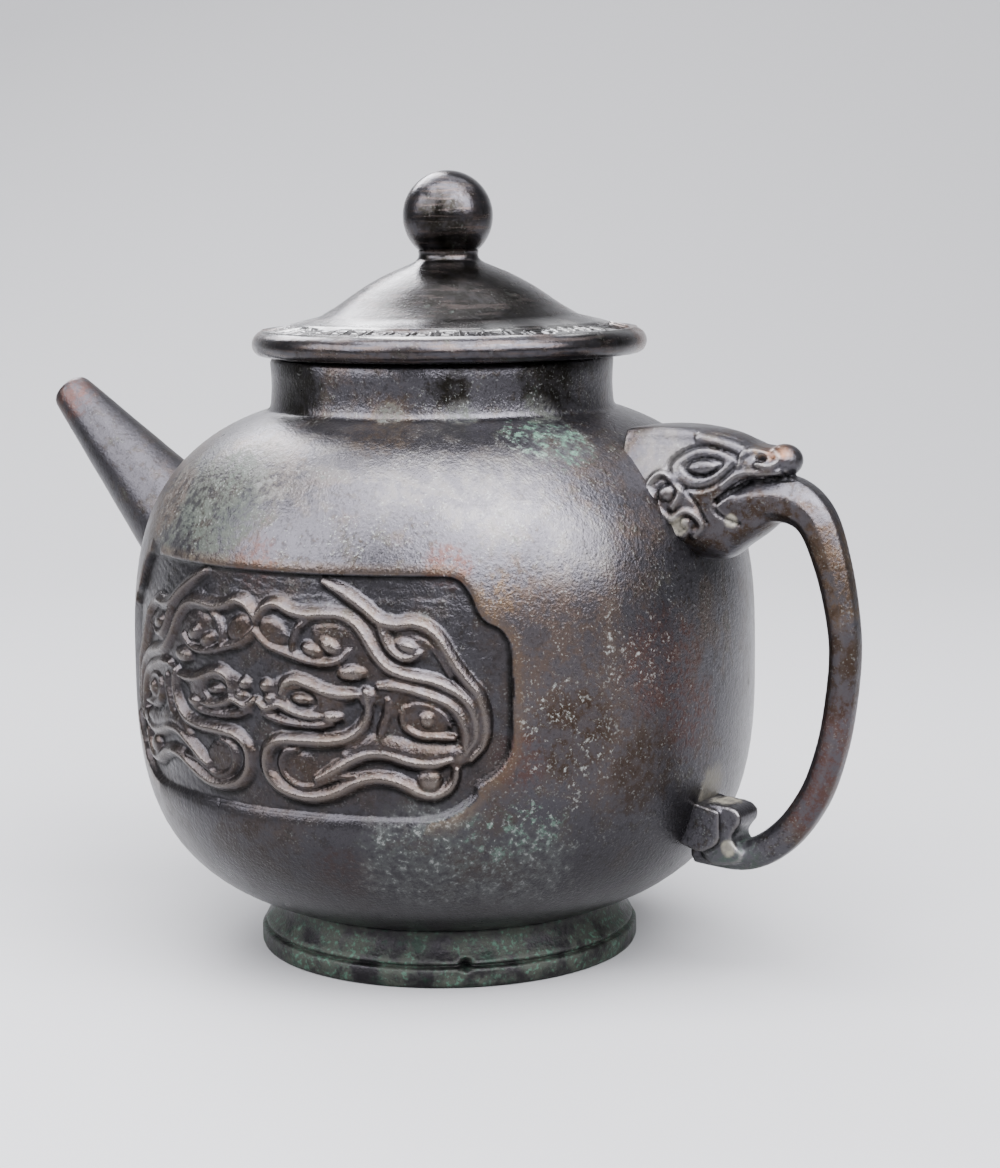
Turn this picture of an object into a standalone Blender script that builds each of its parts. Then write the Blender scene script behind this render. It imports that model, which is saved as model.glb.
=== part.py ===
# Bronze ewer: a squat round bowl on a foot ring, a sunk panel of two confronted dragons on each side,
# a straight spout, a handle that comes out of a beast's mouth, and a loose lid with a ball knob.
# Metres, +Z up. The origin is on the table, under the middle of the whole outline.

import itertools
import math

import bmesh
import bpy
from mathutils import Vector

MM = 0.001

# Fits
SEAM = 0.3 * MM                 # gap between a piece and what it sits on
SPIGOT_PLAY = 1.9 * MM          # room round the lid's spigot inside the neck

# Bowl: its outline is a superellipse, fuller above its widest level than below
BOWL_RADIUS = 55.8 * MM
BOWL_MIDDLE = 52.0 * MM         # height of the widest level
BOWL_RISE = 47.8 * MM
BOWL_DROP = 45.5 * MM
BOWL_SQUARENESS = 3.0
BOWL_WALL = 3.0 * MM

# Neck
NECK_RADIUS = 30.5 * MM
NECK_TOP = 106.1 * MM
NECK_WALL = 2.6 * MM
NECK_FILLET = 1.3 * MM
EDGE_ROUND = 0.4 * MM           # rounding of the plain rims of neck and foot

# Foot ring
FOOT_RADIUS = 34.3 * MM
FOOT_BAND = 3.1 * MM            # plain band at the bottom of the ring
FOOT_GROOVE = 0.5 * MM
FOOT_LIP = 32.9 * MM            # radius of the lip above the band
FOOT_LIP_HEIGHT = 5.3 * MM
FOOT_WAIST = 31.4 * MM
FOOT_COVE = 0.2 * MM            # hollowing of the waist above the lip
FOOT_WALL = 4.6 * MM

# Sunk panels and their dragons
PANEL_HALF_ANGLE = math.radians(46.0)
PANEL_BOTTOM = 33.6 * MM
PANEL_TOP = 74.2 * MM
PANEL_DEPTH = 1.4 * MM
RIBBON_WIDTH = 1.9 * MM
TRUNK_WIDTH = 3.2 * MM
RELIEF_ROOT = 0.3 * MM          # how far the relief is rooted below the lowest of the panel's ground
RELIEF_SHY = 0.1 * MM           # how far its tops stay below the bowl's own surface

# Spout
SPOUT_SLOPE = math.radians(41.3)
SPOUT_REACH = 89.7 * MM         # centre of the tip, out from the bowl's axis
SPOUT_TIP_HEIGHT = 97.3 * MM
SPOUT_TIP_RADIUS = 3.85 * MM
SPOUT_FLARE = 0.152             # growth of the radius for each unit of length towards the bowl
SPOUT_TIP_WALL = 1.3 * MM
SPOUT_BASE_WALL = 2.4 * MM
SPOUT_ROUND = 0.7 * MM

# Handle
HANDLE_REACH = 26.5 * MM        # how far the bar stands out past the bowl's widest level
BAR_RISE = 31.6 * MM            # from the widest level up to the bar's top bend
BAR_DROP = 28.9 * MM            # and down to its lower end
BAR_RADIUS = 2.65 * MM
HEAD_LENGTH = 30.0 * MM
HEAD_HEIGHT = 22.0 * MM
HEAD_WIDTH = 18.6 * MM
HEAD_BACK = 14.6 * MM           # how far its back lies inside the bowl's widest radius
HEAD_CROWN = 95.4 * MM
BLOCK_WIDTH = 9.4 * MM
BLOCK_HEIGHT = 11.0 * MM
BLOCK_OUT = 4.7 * MM            # how far the scrolled block stands out past the widest radius
BLOCK_BOTTOM = 21.2 * MM

# Lid
LID_RADIUS = 35.1 * MM
LID_EDGE = 4.4 * MM             # thickness of the rounded rim
LID_DOME_RADIUS = 24.0 * MM
LID_DOME_HEIGHT = 9.6 * MM
LID_FLANGE_RISE = 1.6 * MM
LID_RIM = 3.0 * MM              # width of the rounded rim outside the flange
LID_RIM_STEP = 0.4 * MM         # how far the flange starts above the rim
LID_WALL = 2.5 * MM
LID_BAND = 0.25 * MM            # depth of the worn ornament band on the flange
LID_BAND_EDGE = 0.9 * MM        # plain edge on both sides of the band
CROWN_RISE = 0.1 * MM           # the dome's ceiling rises this little more to its middle
SPIGOT_LENGTH = 6.5 * MM
SPIGOT_WALL = 2.0 * MM
COLLAR_RADIUS = 5.5 * MM
COLLAR_HEIGHT = 2.2 * MM
KNOB_RADIUS = 8.0 * MM
LID_SHIFT = (1.17 * MM, 0.77 * MM)   # the loose lid sits a little off the bowl's axis

# Fineness
TURNED_STEPS = 36
GROUND_STEPS = 26
LID_STEPS = 26
SPOUT_STEPS = 18
BOWL_STEPS = 6
SHARP = math.radians(38.0)
FLAT = math.radians(3.0)


def clear_scene():
    for obj in list(bpy.data.objects):
        bpy.data.objects.remove(obj, do_unlink=True)
    for group in list(bpy.data.collections):
        bpy.data.collections.remove(group)


def new_collection(name):
    group = bpy.data.collections.new(name)
    bpy.context.scene.collection.children.link(group)
    return group


def bronze(name, colour, roughness):
    material = bpy.data.materials.new(name)
    material.use_nodes = True
    shader = material.node_tree.nodes["Principled BSDF"]
    shader.inputs["Base Color"].default_value = (*colour, 1.0)
    shader.inputs["Metallic"].default_value = 0.85
    shader.inputs["Roughness"].default_value = roughness
    return material


def place(name, mesh, group, material=None):
    """Wrap a mesh in a smooth-shaded object of its own."""
    if material is not None:
        mesh.materials.append(material)
    mesh.shade_smooth()
    if mesh.polygons:
        mesh.set_sharp_from_angle(angle=SHARP)
    obj = bpy.data.objects.new(name, mesh)
    group.objects.link(obj)
    if material is None:
        obj.hide_render = True
        obj.display_type = "WIRE"
    return obj


def turned(name, profile, group, material=None, closed=False, steps=TURNED_STEPS):
    """Turn a profile of (radius, height) points, which runs down its outer side, about Z."""
    edges = [(i, i + 1) for i in range(len(profile) - 1)]
    if closed:
        edges.append((len(profile) - 1, 0))
    mesh = bpy.data.meshes.new(name)
    mesh.from_pydata([(radius, 0.0, height) for radius, height in profile], edges, [])
    obj = place(name, mesh, group, material)
    screw = obj.modifiers.new("turn", "SCREW")
    screw.steps = steps
    screw.render_steps = steps
    screw.use_smooth_shade = True
    screw.use_merge_vertices = True
    screw.merge_threshold = 0.01 * MM
    return obj


def boolean(obj, operation, other, self_crossing=False):
    step = obj.modifiers.new(other.name, "BOOLEAN")
    step.operation = operation
    step.object = other
    step.solver = "EXACT"
    step.use_self = self_crossing
    return step


def trim_flat(obj):
    """Join the slivers that the cuts leave where neighbouring faces lie almost in one plane."""
    trim = obj.modifiers.new("trim", "DECIMATE")
    trim.decimate_type = "DISSOLVE"
    trim.angle_limit = FLAT


def clean_mesh(bm, name):
    bmesh.ops.remove_doubles(bm, verts=bm.verts, dist=0.001 * MM)
    bmesh.ops.recalc_face_normals(bm, faces=bm.faces)
    mesh = bpy.data.meshes.new(name)
    bm.to_mesh(mesh)
    bm.free()
    return mesh


def curve_to_mesh(curve_object, name, group):
    """Make a curve object a welded mesh object, and remove the curve."""
    bpy.context.view_layer.update()
    depsgraph = bpy.context.evaluated_depsgraph_get()
    raw = bpy.data.meshes.new_from_object(curve_object.evaluated_get(depsgraph))
    bm = bmesh.new()
    bm.from_mesh(raw)
    bm.transform(curve_object.matrix_world)
    bpy.data.objects.remove(curve_object, do_unlink=True)
    return place(name, clean_mesh(bm, name), group)


def add_loft(bm, rings):
    """Skin closed rings of equal length and cap both ends."""
    rows = [[bm.verts.new(point) for point in ring] for ring in rings]
    count = len(rows[0])
    for lower, upper in zip(rows, rows[1:]):
        for i in range(count):
            j = (i + 1) % count
            bm.faces.new((lower[i], lower[j], upper[j], upper[i]))
    bm.faces.new(list(reversed(rows[0])))
    bm.faces.new(rows[-1])


# Bowl outline


def bowl_radius(height, grow=0.0):
    """Radius of the bowl's outer face, or of one grown or shrunk by a given amount, at a height."""
    reach = (BOWL_RISE if height > BOWL_MIDDLE else BOWL_DROP) + grow
    share = min(abs(height - BOWL_MIDDLE) / reach, 1.0)
    return (BOWL_RADIUS + grow) * (1.0 - share ** BOWL_SQUARENESS) ** (1.0 / BOWL_SQUARENESS)


def bowl_height(radius, upper, grow=0.0):
    """Height at which the upper or the lower half of the bowl's outline has a given radius."""
    share = 1.0 - min(radius / (BOWL_RADIUS + grow), 1.0) ** BOWL_SQUARENESS
    lift = share ** (1.0 / BOWL_SQUARENESS)
    if upper:
        return BOWL_MIDDLE + (BOWL_RISE + grow) * lift
    return BOWL_MIDDLE - (BOWL_DROP + grow) * lift


def bowl_curve(top_radius, bottom_radius, grow=0.0, steps=BOWL_STEPS):
    """The outline, as (radius, height) points, from a radius on the shoulder down to one near the foot."""
    power = 2.0 / BOWL_SQUARENESS
    points = []
    for upper, end_radius in ((True, top_radius), (False, bottom_radius)):
        end = math.acos(min(end_radius / (BOWL_RADIUS + grow), 1.0) ** (1.0 / power))
        reach = (BOWL_RISE + grow) if upper else -(BOWL_DROP + grow)
        half = []
        for i in range(1, steps + 1):
            angle = end * (i / steps) ** 1.15
            radius = (BOWL_RADIUS + grow) * math.cos(angle) ** power
            half.append((radius, BOWL_MIDDLE + reach * math.sin(angle) ** power))
        half = [(BOWL_RADIUS + grow, BOWL_MIDDLE)] + half
        points += list(reversed(half)) if upper else half[1:]
    return points


def bowl_profile():
    """Inside floor, up the inner wall, over the neck's rim and down the outer side to the foot's hollow."""
    neck_bore = NECK_RADIUS - NECK_WALL
    floor_reach = 0.25 * BOWL_RADIUS
    inside = bowl_curve(neck_bore, floor_reach, -BOWL_WALL, BOWL_STEPS // 2)
    floor = BOWL_MIDDLE - BOWL_DROP + BOWL_WALL
    profile = [(0.0, floor)] + list(reversed(inside))
    profile += [
        (neck_bore, NECK_TOP),
        (NECK_RADIUS - EDGE_ROUND, NECK_TOP),
        (NECK_RADIUS, NECK_TOP - EDGE_ROUND),
    ]
    shoulder = bowl_height(NECK_RADIUS + NECK_FILLET, True)
    profile += [
        (NECK_RADIUS, shoulder + NECK_FILLET),
        (NECK_RADIUS + 0.25 * NECK_FILLET, shoulder + 0.35 * NECK_FILLET),
    ]
    profile += bowl_curve(NECK_RADIUS + NECK_FILLET, FOOT_WAIST)
    waist = bowl_height(FOOT_WAIST, False)
    cove = waist - FOOT_LIP_HEIGHT
    profile += [
        (FOOT_WAIST - FOOT_COVE, FOOT_LIP_HEIGHT + 0.5 * cove),
        (FOOT_LIP - EDGE_ROUND, FOOT_LIP_HEIGHT),
        (FOOT_LIP, FOOT_LIP_HEIGHT - EDGE_ROUND),
        (FOOT_RADIUS - FOOT_GROOVE, FOOT_BAND + FOOT_GROOVE),
        (FOOT_RADIUS, FOOT_BAND),
        (FOOT_RADIUS, EDGE_ROUND),
        (FOOT_RADIUS - EDGE_ROUND, 0.0),
        (FOOT_RADIUS - FOOT_WALL, 0.0),
        (FOOT_RADIUS - FOOT_WALL - EDGE_ROUND, FOOT_LIP_HEIGHT),
        (0.0, BOWL_MIDDLE - BOWL_DROP),
    ]
    return profile


def bowl_solid(name, grow, group, steps=TURNED_STEPS):
    """The closed bowl without neck or foot, grown or shrunk, as a cutter whose rings match the bowl's."""
    rings = bowl_curve(NECK_RADIUS + NECK_FILLET, FOOT_WAIST, grow)
    profile = [(0.0, rings[0][1])] + rings + [(0.0, rings[-1][1])]
    return turned(name, profile, group, steps=steps)


# Panel and relief. Their points are percentages: across, from the panel's centre line to its side;
# up, from its bottom to its top.

PANEL_EDGE = [
    (54, 0), (77, 6), (86, 13), (88, 19), (97, 27), (100, 38), (100, 60), (98, 73), (90, 82), (86, 90),
    (83, 96), (76, 100),
]

DRAGON_RIBBONS = [
    # crest that leaves the top edge and runs down the outside to the tail curl
    (1.0, [(33, 96), (50, 81), (66, 82), (78, 70), (90, 53), (89, 35), (80, 24)]),
    # fork under the crest, round the upper curl
    (0.8, [(52, 76), (63, 65)]),
    # long ribbon that starts where the two dragons meet
    (1.0, [(0, 80), (10, 85), (38, 82), (50, 67), (60, 60), (75, 56), (85, 43)]),
    # lobe and arch of the front curl
    (1.9, [(5, 74), (17, 70)]),
    (0.8, [(22, 67), (26, 77), (38, 75), (43, 66)]),
    # middle ribbon of the back
    (0.9, [(50, 55), (68, 52), (79, 44), (81, 33)]),
    # head: brow, upper lip, lower jaw
    (1.2, [(15, 54), (23, 57), (43, 53)]),
    (1.0, [(5, 45), (30, 43)]),
    (1.0, [(3, 39), (14, 36), (30, 38)]),
    # neck that loops forward under the jaw and back along the bottom
    (1.2, [(46, 50), (42, 36), (32, 31), (9, 30), (3, 21), (11, 10), (30, 8), (41, 14)]),
    (1.0, [(17, 24), (15, 17), (29, 18)]),
    # lower band and the ring of its end ball
    (1.0, [(45, 18), (55, 19), (66, 11), (76, 15), (81, 25)]),
    # ring of the shoulder curl
    (0.8, [(57, 45), (68, 48), (77, 41), (70, 33), (61, 37)]),
    # short strap behind the head
    (0.9, [(52, 52), (51, 37)]),
]

DRAGON_TRUNK = [(29, 18), (48, 29), (62, 27), (74, 29)]

# Raised drops: across, up, then width and height as shares of a ribbon's width
DRAGON_DROPS = [
    (33, 69, 1.7, 1.4), (62, 73, 1.7, 1.3), (21, 49, 1.8, 0.95), (5, 52, 1.4, 1.6),
    (68, 18, 1.6, 1.5), (68, 41, 1.5, 1.3),
]


def ground_sag():
    """How far the flats of the ground's facets lie inside its true round."""
    return BOWL_RADIUS * (1.0 - math.cos(math.pi / GROUND_STEPS))


def panel_point(across, up, grow, turn):
    """A point of the panel by its percentages, on the bowl's surface grown by an amount."""
    height = PANEL_BOTTOM + (PANEL_TOP - PANEL_BOTTOM) * up / 100.0
    angle = turn + PANEL_HALF_ANGLE * across / 100.0 - math.pi / 2.0
    radius = bowl_radius(height) + grow
    return Vector((radius * math.cos(angle), radius * math.sin(angle), height))


def panel_cutter(name, turn, ground, group):
    """A wedge with the panel's outline, cut back to the panel's ground."""
    inner = 0.5 * BOWL_RADIUS
    outer = 1.1 * BOWL_RADIUS / math.cos(PANEL_HALF_ANGLE)
    rings = []
    for across, up in PANEL_EDGE:
        height = PANEL_BOTTOM + (PANEL_TOP - PANEL_BOTTOM) * up / 100.0
        ring = []
        for side, radius in ((-1, inner), (1, inner), (1, outer), (-1, outer)):
            angle = turn + side * PANEL_HALF_ANGLE * across / 100.0 - math.pi / 2.0
            ring.append((radius * math.cos(angle), radius * math.sin(angle), height))
        rings.append(ring)
    bm = bmesh.new()
    add_loft(bm, rings)
    bmesh.ops.triangulate(bm, faces=bm.faces)
    wedge = place(name, clean_mesh(bm, name), group)
    boolean(wedge, "DIFFERENCE", ground)
    return wedge


def add_ribbon(bm, points, width, turn, side):
    """A ridge with sloping flanks along points of the panel, mirrored by its side."""
    top = -RELIEF_SHY
    root = -PANEL_DEPTH - ground_sag() - RELIEF_ROOT
    half = 0.5 * width * (top - root) / (top + PANEL_DEPTH)
    spots = [panel_point(side * across, up, 0.0, turn) for across, up in points]
    rings = []
    for i, spot in enumerate(spots):
        ahead = spots[min(i + 1, len(spots) - 1)] - spots[max(i - 1, 0)]
        outward = Vector((spot.x, spot.y, 0.0)).normalized()
        across = outward.cross(ahead).normalized()
        rings.append([
            spot - across * half + outward * root,
            spot + across * half + outward * root,
            spot + outward * top,
        ])
    add_loft(bm, rings)


def add_drop(bm, across, up, width, height, turn, side):
    """A half-buried rounded drop on the panel's ground, with its width and height as shares of a ribbon's."""
    spot = panel_point(side * across, up, -PANEL_DEPTH, turn)
    outward = Vector((spot.x, spot.y, 0.0)).normalized()
    ball = bmesh.ops.create_uvsphere(bm, u_segments=6, v_segments=4, radius=1.0)["verts"]
    turn_to = outward.to_track_quat("Z", "Y").to_matrix()
    size = (0.5 * width * RIBBON_WIDTH, 0.5 * height * RIBBON_WIDTH, PANEL_DEPTH)
    for vert in ball:
        local = Vector((vert.co.x * size[0], vert.co.y * size[1], vert.co.z * size[2]))
        vert.co = spot + turn_to @ local


def relief_mesh(name, turns):
    bm = bmesh.new()
    for turn, side in itertools.product(turns, (-1, 1)):
        for share, points in DRAGON_RIBBONS:
            add_ribbon(bm, points, share * RIBBON_WIDTH, turn, side)
        add_ribbon(bm, DRAGON_TRUNK, TRUNK_WIDTH, turn, side)
        for across, up, width, height in DRAGON_DROPS:
            add_drop(bm, across, up, width, height, turn, side)
    bmesh.ops.triangulate(bm, faces=bm.faces)
    bmesh.ops.recalc_face_normals(bm, faces=bm.faces)
    mesh = bpy.data.meshes.new(name)
    bm.to_mesh(mesh)
    bm.free()
    return mesh


# Spout


def spout_axis():
    """Centre of the tip and the direction from the bowl to the tip."""
    tip = Vector((-SPOUT_REACH, 0.0, SPOUT_TIP_HEIGHT))
    return tip, Vector((-math.cos(SPOUT_SLOPE), 0.0, math.sin(SPOUT_SLOPE)))


def spout_length():
    """From the tip to well inside the bowl's wall along the axis."""
    return (SPOUT_REACH - BOWL_RADIUS + 3.0 * BOWL_WALL) / math.cos(SPOUT_SLOPE)


def aim(obj):
    tip, _ = spout_axis()
    obj.location = tip
    obj.rotation_euler = (0.0, SPOUT_SLOPE - math.pi / 2.0, 0.0)


def spout_profile():
    length = spout_length()
    base = SPOUT_TIP_RADIUS + SPOUT_FLARE * length
    shoulder = SPOUT_TIP_RADIUS + SPOUT_FLARE * SPOUT_ROUND
    bore = SPOUT_TIP_RADIUS - SPOUT_TIP_WALL
    return [
        (SPOUT_TIP_RADIUS - SPOUT_ROUND, 0.0),
        (SPOUT_TIP_RADIUS - 0.25 * SPOUT_ROUND, -0.25 * SPOUT_ROUND),
        (shoulder, -SPOUT_ROUND),
        (base, -length),
        (base - SPOUT_BASE_WALL, -length),
        (bore, 0.0),
    ]


def bore_profile():
    """The spout's bore carried on through the bowl's wall."""
    length = spout_length()
    reach = 2.0 * BOWL_WALL
    bore = SPOUT_TIP_RADIUS - SPOUT_TIP_WALL
    base = SPOUT_TIP_RADIUS + SPOUT_FLARE * length - SPOUT_BASE_WALL
    start = 0.5 * length
    radius = bore + (base - bore) * start / length
    end = base + (base - bore) * reach / length
    return [(0.0, -start), (radius, -start), (end, -length - reach), (0.0, -length - reach)]


# Handle. Head points are shares: along from its back to its snout, half widths and heights of its own size.

HEAD_SECTIONS = [
    (0.00, [(0, 0), (0.56, 0.02), (0.73, 0.18), (0.92, 0.38), (1.0, 0.61), (0, 0.70)]),
    (0.23, [(0, -0.01), (0.53, 0.01), (0.71, 0.18), (0.88, 0.38), (0.97, 0.61), (0, 0.70)]),
    (0.43, [(0, 0.0), (0.45, 0.02), (0.65, 0.18), (0.74, 0.38), (0.80, 0.61), (0, 0.70)]),
    (0.59, [(0, 0.02), (0.37, 0.05), (0.58, 0.18), (0.61, 0.36), (0.58, 0.54), (0, 0.58)]),
    (0.73, [(0, 0.08), (0.34, 0.11), (0.49, 0.19), (0.53, 0.31), (0.46, 0.41), (0, 0.43)]),
    (0.86, [(0, 0.11), (0.32, 0.13), (0.46, 0.19), (0.49, 0.26), (0.41, 0.33), (0, 0.35)]),
    (0.96, [(0, 0.14), (0.28, 0.16), (0.40, 0.20), (0.42, 0.26), (0.34, 0.32), (0, 0.34)]),
    (1.00, [(0, 0.19), (0.17, 0.20), (0.27, 0.23), (0.28, 0.26), (0.19, 0.30), (0, 0.32)]),
]

JAW_SECTIONS = [
    (0.00, [(0, 0.56), (0.92, 0.56), (0.92, 0.70), (0.70, 0.83), (0.32, 0.93), (0, 0.96)]),
    (0.36, [(0, 0.56), (0.88, 0.58), (0.85, 0.70), (0.64, 0.85), (0.30, 0.96), (0, 1.00)]),
    (0.56, [(0, 0.56), (0.60, 0.57), (0.60, 0.70), (0.52, 0.84), (0.26, 0.96), (0, 1.00)]),
    (0.69, [(0, 0.61), (0.50, 0.63), (0.52, 0.72), (0.43, 0.83), (0.22, 0.91), (0, 0.94)]),
    (0.83, [(0, 0.68), (0.41, 0.69), (0.42, 0.74), (0.34, 0.80), (0.17, 0.85), (0, 0.86)]),
    (0.90, [(0, 0.72), (0.28, 0.73), (0.29, 0.75), (0.24, 0.78), (0.13, 0.80), (0, 0.80)]),
]

# Bar: out from the bowl's widest radius as shares of the reach, up or down from the widest level as shares
# of the rise or the drop, thickness as a share of the bar's radius
BAR_PATH = [
    (0.04, 0.93, 1.5), (0.31, 0.99, 1.58), (0.52, 1.0, 1.48), (0.69, 0.905, 1.27), (0.80, 0.68, 1.15),
    (0.865, 0.443, 1.05), (0.89, 0.22, 1.0), (0.86, -0.05, 1.0), (0.80, -0.33, 1.0), (0.685, -0.605, 1.03),
    (0.48, -0.86, 1.05), (0.22, -1.0, 1.0), (-0.04, -1.0, 0.95),
]

BLOCK_OUTLINE = [
    (0.0, 1.0), (0.68, 1.03), (0.92, 0.96), (1.0, 0.82), (0.94, 0.68), (0.80, 0.57), (0.78, 0.45),
    (0.92, 0.34), (1.10, 0.26), (0.95, 0.08), (0.40, 0.04), (0.0, 0.16),
]


def head_origin():
    return BOWL_RADIUS - HEAD_BACK


def head_mesh(name, sections):
    bm = bmesh.new()
    rings = []
    for along, shape in sections:
        x = head_origin() + HEAD_LENGTH * along
        right = [(x, -0.5 * HEAD_WIDTH * wide, HEAD_CROWN - HEAD_HEIGHT * down) for wide, down in shape]
        left = [(x, -y, z) for x, y, z in reversed(right[1:-1])]
        rings.append(right + left)
    add_loft(bm, rings)
    bmesh.ops.triangulate(bm, faces=bm.faces)
    return clean_mesh(bm, name)


# Raised features of the beast's face as shares of the head: along, half width, down, then radii along,
# across and up
FACE_BOSSES = [
    (0.47, 0.62, 0.27, 0.140, 0.086, 0.100),    # eye
    (0.53, 0.42, 0.08, 0.153, 0.097, 0.077),    # brow
    (0.84, 0.42, 0.20, 0.120, 0.091, 0.091),    # nostril
    (0.32, 0.84, 0.42, 0.083, 0.097, 0.118),    # cheek curl
    (0.41, 0.76, 0.66, 0.067, 0.108, 0.118),    # beard curl
]


def face_mesh(name):
    bm = bmesh.new()
    for along, wide, down, length, depth, height in FACE_BOSSES:
        for side in (-1, 1):
            centre = Vector((
                head_origin() + HEAD_LENGTH * along,
                side * 0.5 * HEAD_WIDTH * wide,
                HEAD_CROWN - HEAD_HEIGHT * down,
            ))
            ball = bmesh.ops.create_uvsphere(bm, u_segments=6, v_segments=5, radius=1.0)["verts"]
            for vert in ball:
                vert.co = centre + Vector((
                    vert.co.x * HEAD_LENGTH * length,
                    vert.co.y * HEAD_WIDTH * depth,
                    vert.co.z * HEAD_HEIGHT * height,
                ))
    bmesh.ops.recalc_face_normals(bm, faces=bm.faces)
    mesh = bpy.data.meshes.new(name)
    bm.to_mesh(mesh)
    bm.free()
    return mesh


def bar_object(name, group):
    curve = bpy.data.curves.new(name, "CURVE")
    curve.dimensions = "3D"
    curve.bevel_depth = BAR_RADIUS
    curve.bevel_resolution = 2
    curve.use_fill_caps = True
    curve.resolution_u = 2
    spline = curve.splines.new("BEZIER")
    spline.bezier_points.add(len(BAR_PATH) - 1)
    for knot, (out, up, thick) in zip(spline.bezier_points, BAR_PATH):
        lift = (BAR_RISE if up > 0.0 else BAR_DROP) * up
        knot.co = (BOWL_RADIUS + HANDLE_REACH * out, 0.0, BOWL_MIDDLE + lift)
        knot.radius = thick
        knot.handle_left_type = "AUTO"
        knot.handle_right_type = "AUTO"
    obj = bpy.data.objects.new(name, curve)
    group.objects.link(obj)
    return curve_to_mesh(obj, name, group)


def block_object(name, group):
    """The scrolled block at the lower end: a side outline given the block's width."""
    curve = bpy.data.curves.new(name, "CURVE")
    curve.dimensions = "2D"
    curve.fill_mode = "BOTH"
    curve.extrude = 0.5 * BLOCK_WIDTH
    spline = curve.splines.new("POLY")
    spline.points.add(len(BLOCK_OUTLINE) - 1)
    back = BOWL_RADIUS - 2.0 * BLOCK_OUT
    length = 3.0 * BLOCK_OUT
    for point, (along, up) in zip(spline.points, BLOCK_OUTLINE):
        point.co = (back + length * along, BLOCK_BOTTOM + BLOCK_HEIGHT * up, 0.0, 1.0)
    spline.use_cyclic_u = True
    obj = bpy.data.objects.new(name, curve)
    obj.rotation_euler = (math.pi / 2.0, 0.0, 0.0)
    group.objects.link(obj)
    return curve_to_mesh(obj, name, group)


# Lid

# Dome outline as shares of its radius and height, from the collar down to the flange
DOME_OUTLINE = [(0.27, 1.0), (0.46, 0.80), (0.61, 0.60), (0.72, 0.42), (0.83, 0.23), (0.96, 0.04)]


def lid_profile():
    under = NECK_TOP + SEAM
    spigot = NECK_RADIUS - NECK_WALL - SPIGOT_PLAY
    flange_out = under + LID_EDGE + LID_RIM_STEP
    flange_in = flange_out + LID_FLANGE_RISE
    dome = [(LID_DOME_RADIUS * r, flange_in + LID_DOME_HEIGHT * h) for r, h in DOME_OUTLINE]
    collar_base = dome[0][1]
    ball_foot = math.sqrt(KNOB_RADIUS ** 2 - (0.95 * COLLAR_RADIUS) ** 2)
    knob_centre = collar_base + COLLAR_HEIGHT + ball_foot
    start = math.pi / 2.0
    stop = -math.asin(ball_foot / KNOB_RADIUS)
    knob_steps = 6
    profile = []
    for i in range(knob_steps + 1):
        angle = start + (stop - start) * i / knob_steps
        radius = KNOB_RADIUS * math.cos(angle) if i else 0.0
        profile.append((radius, knob_centre + KNOB_RADIUS * math.sin(angle)))
    profile += [
        (COLLAR_RADIUS, collar_base + 0.75 * COLLAR_HEIGHT),
        (COLLAR_RADIUS, collar_base + 0.30 * COLLAR_HEIGHT),
    ]
    profile += dome
    flange_edge = LID_RADIUS - LID_RIM
    band_in = LID_DOME_RADIUS + LID_BAND_EDGE
    band_out = flange_edge - LID_BAND_EDGE
    slope = (flange_in - flange_out) / (flange_edge - LID_DOME_RADIUS)
    for radius, sink in ((band_in, 0.0), (band_in, LID_BAND), (band_out, LID_BAND), (band_out, 0.0)):
        profile.append((radius, flange_in - slope * (radius - LID_DOME_RADIUS) - sink))
    half = 0.5 * LID_EDGE
    rim_steps = 4
    for i in range(rim_steps + 1):
        angle = math.pi * (0.42 - 0.92 * i / rim_steps)
        profile.append((LID_RADIUS - half + half * math.cos(angle), under + half + half * math.sin(angle)))
    inner = spigot - SPIGOT_WALL
    profile += [
        (spigot, under),
        (spigot, under - SPIGOT_LENGTH),
        (inner, under - SPIGOT_LENGTH),
        (inner, under + 0.5 * LID_EDGE),
    ]
    for radius, height in reversed(dome[:-1]):
        profile.append((radius - 0.3 * LID_WALL, height - LID_WALL))
    profile.append((0.0, dome[0][1] - LID_WALL + CROWN_RISE))
    return profile


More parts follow.
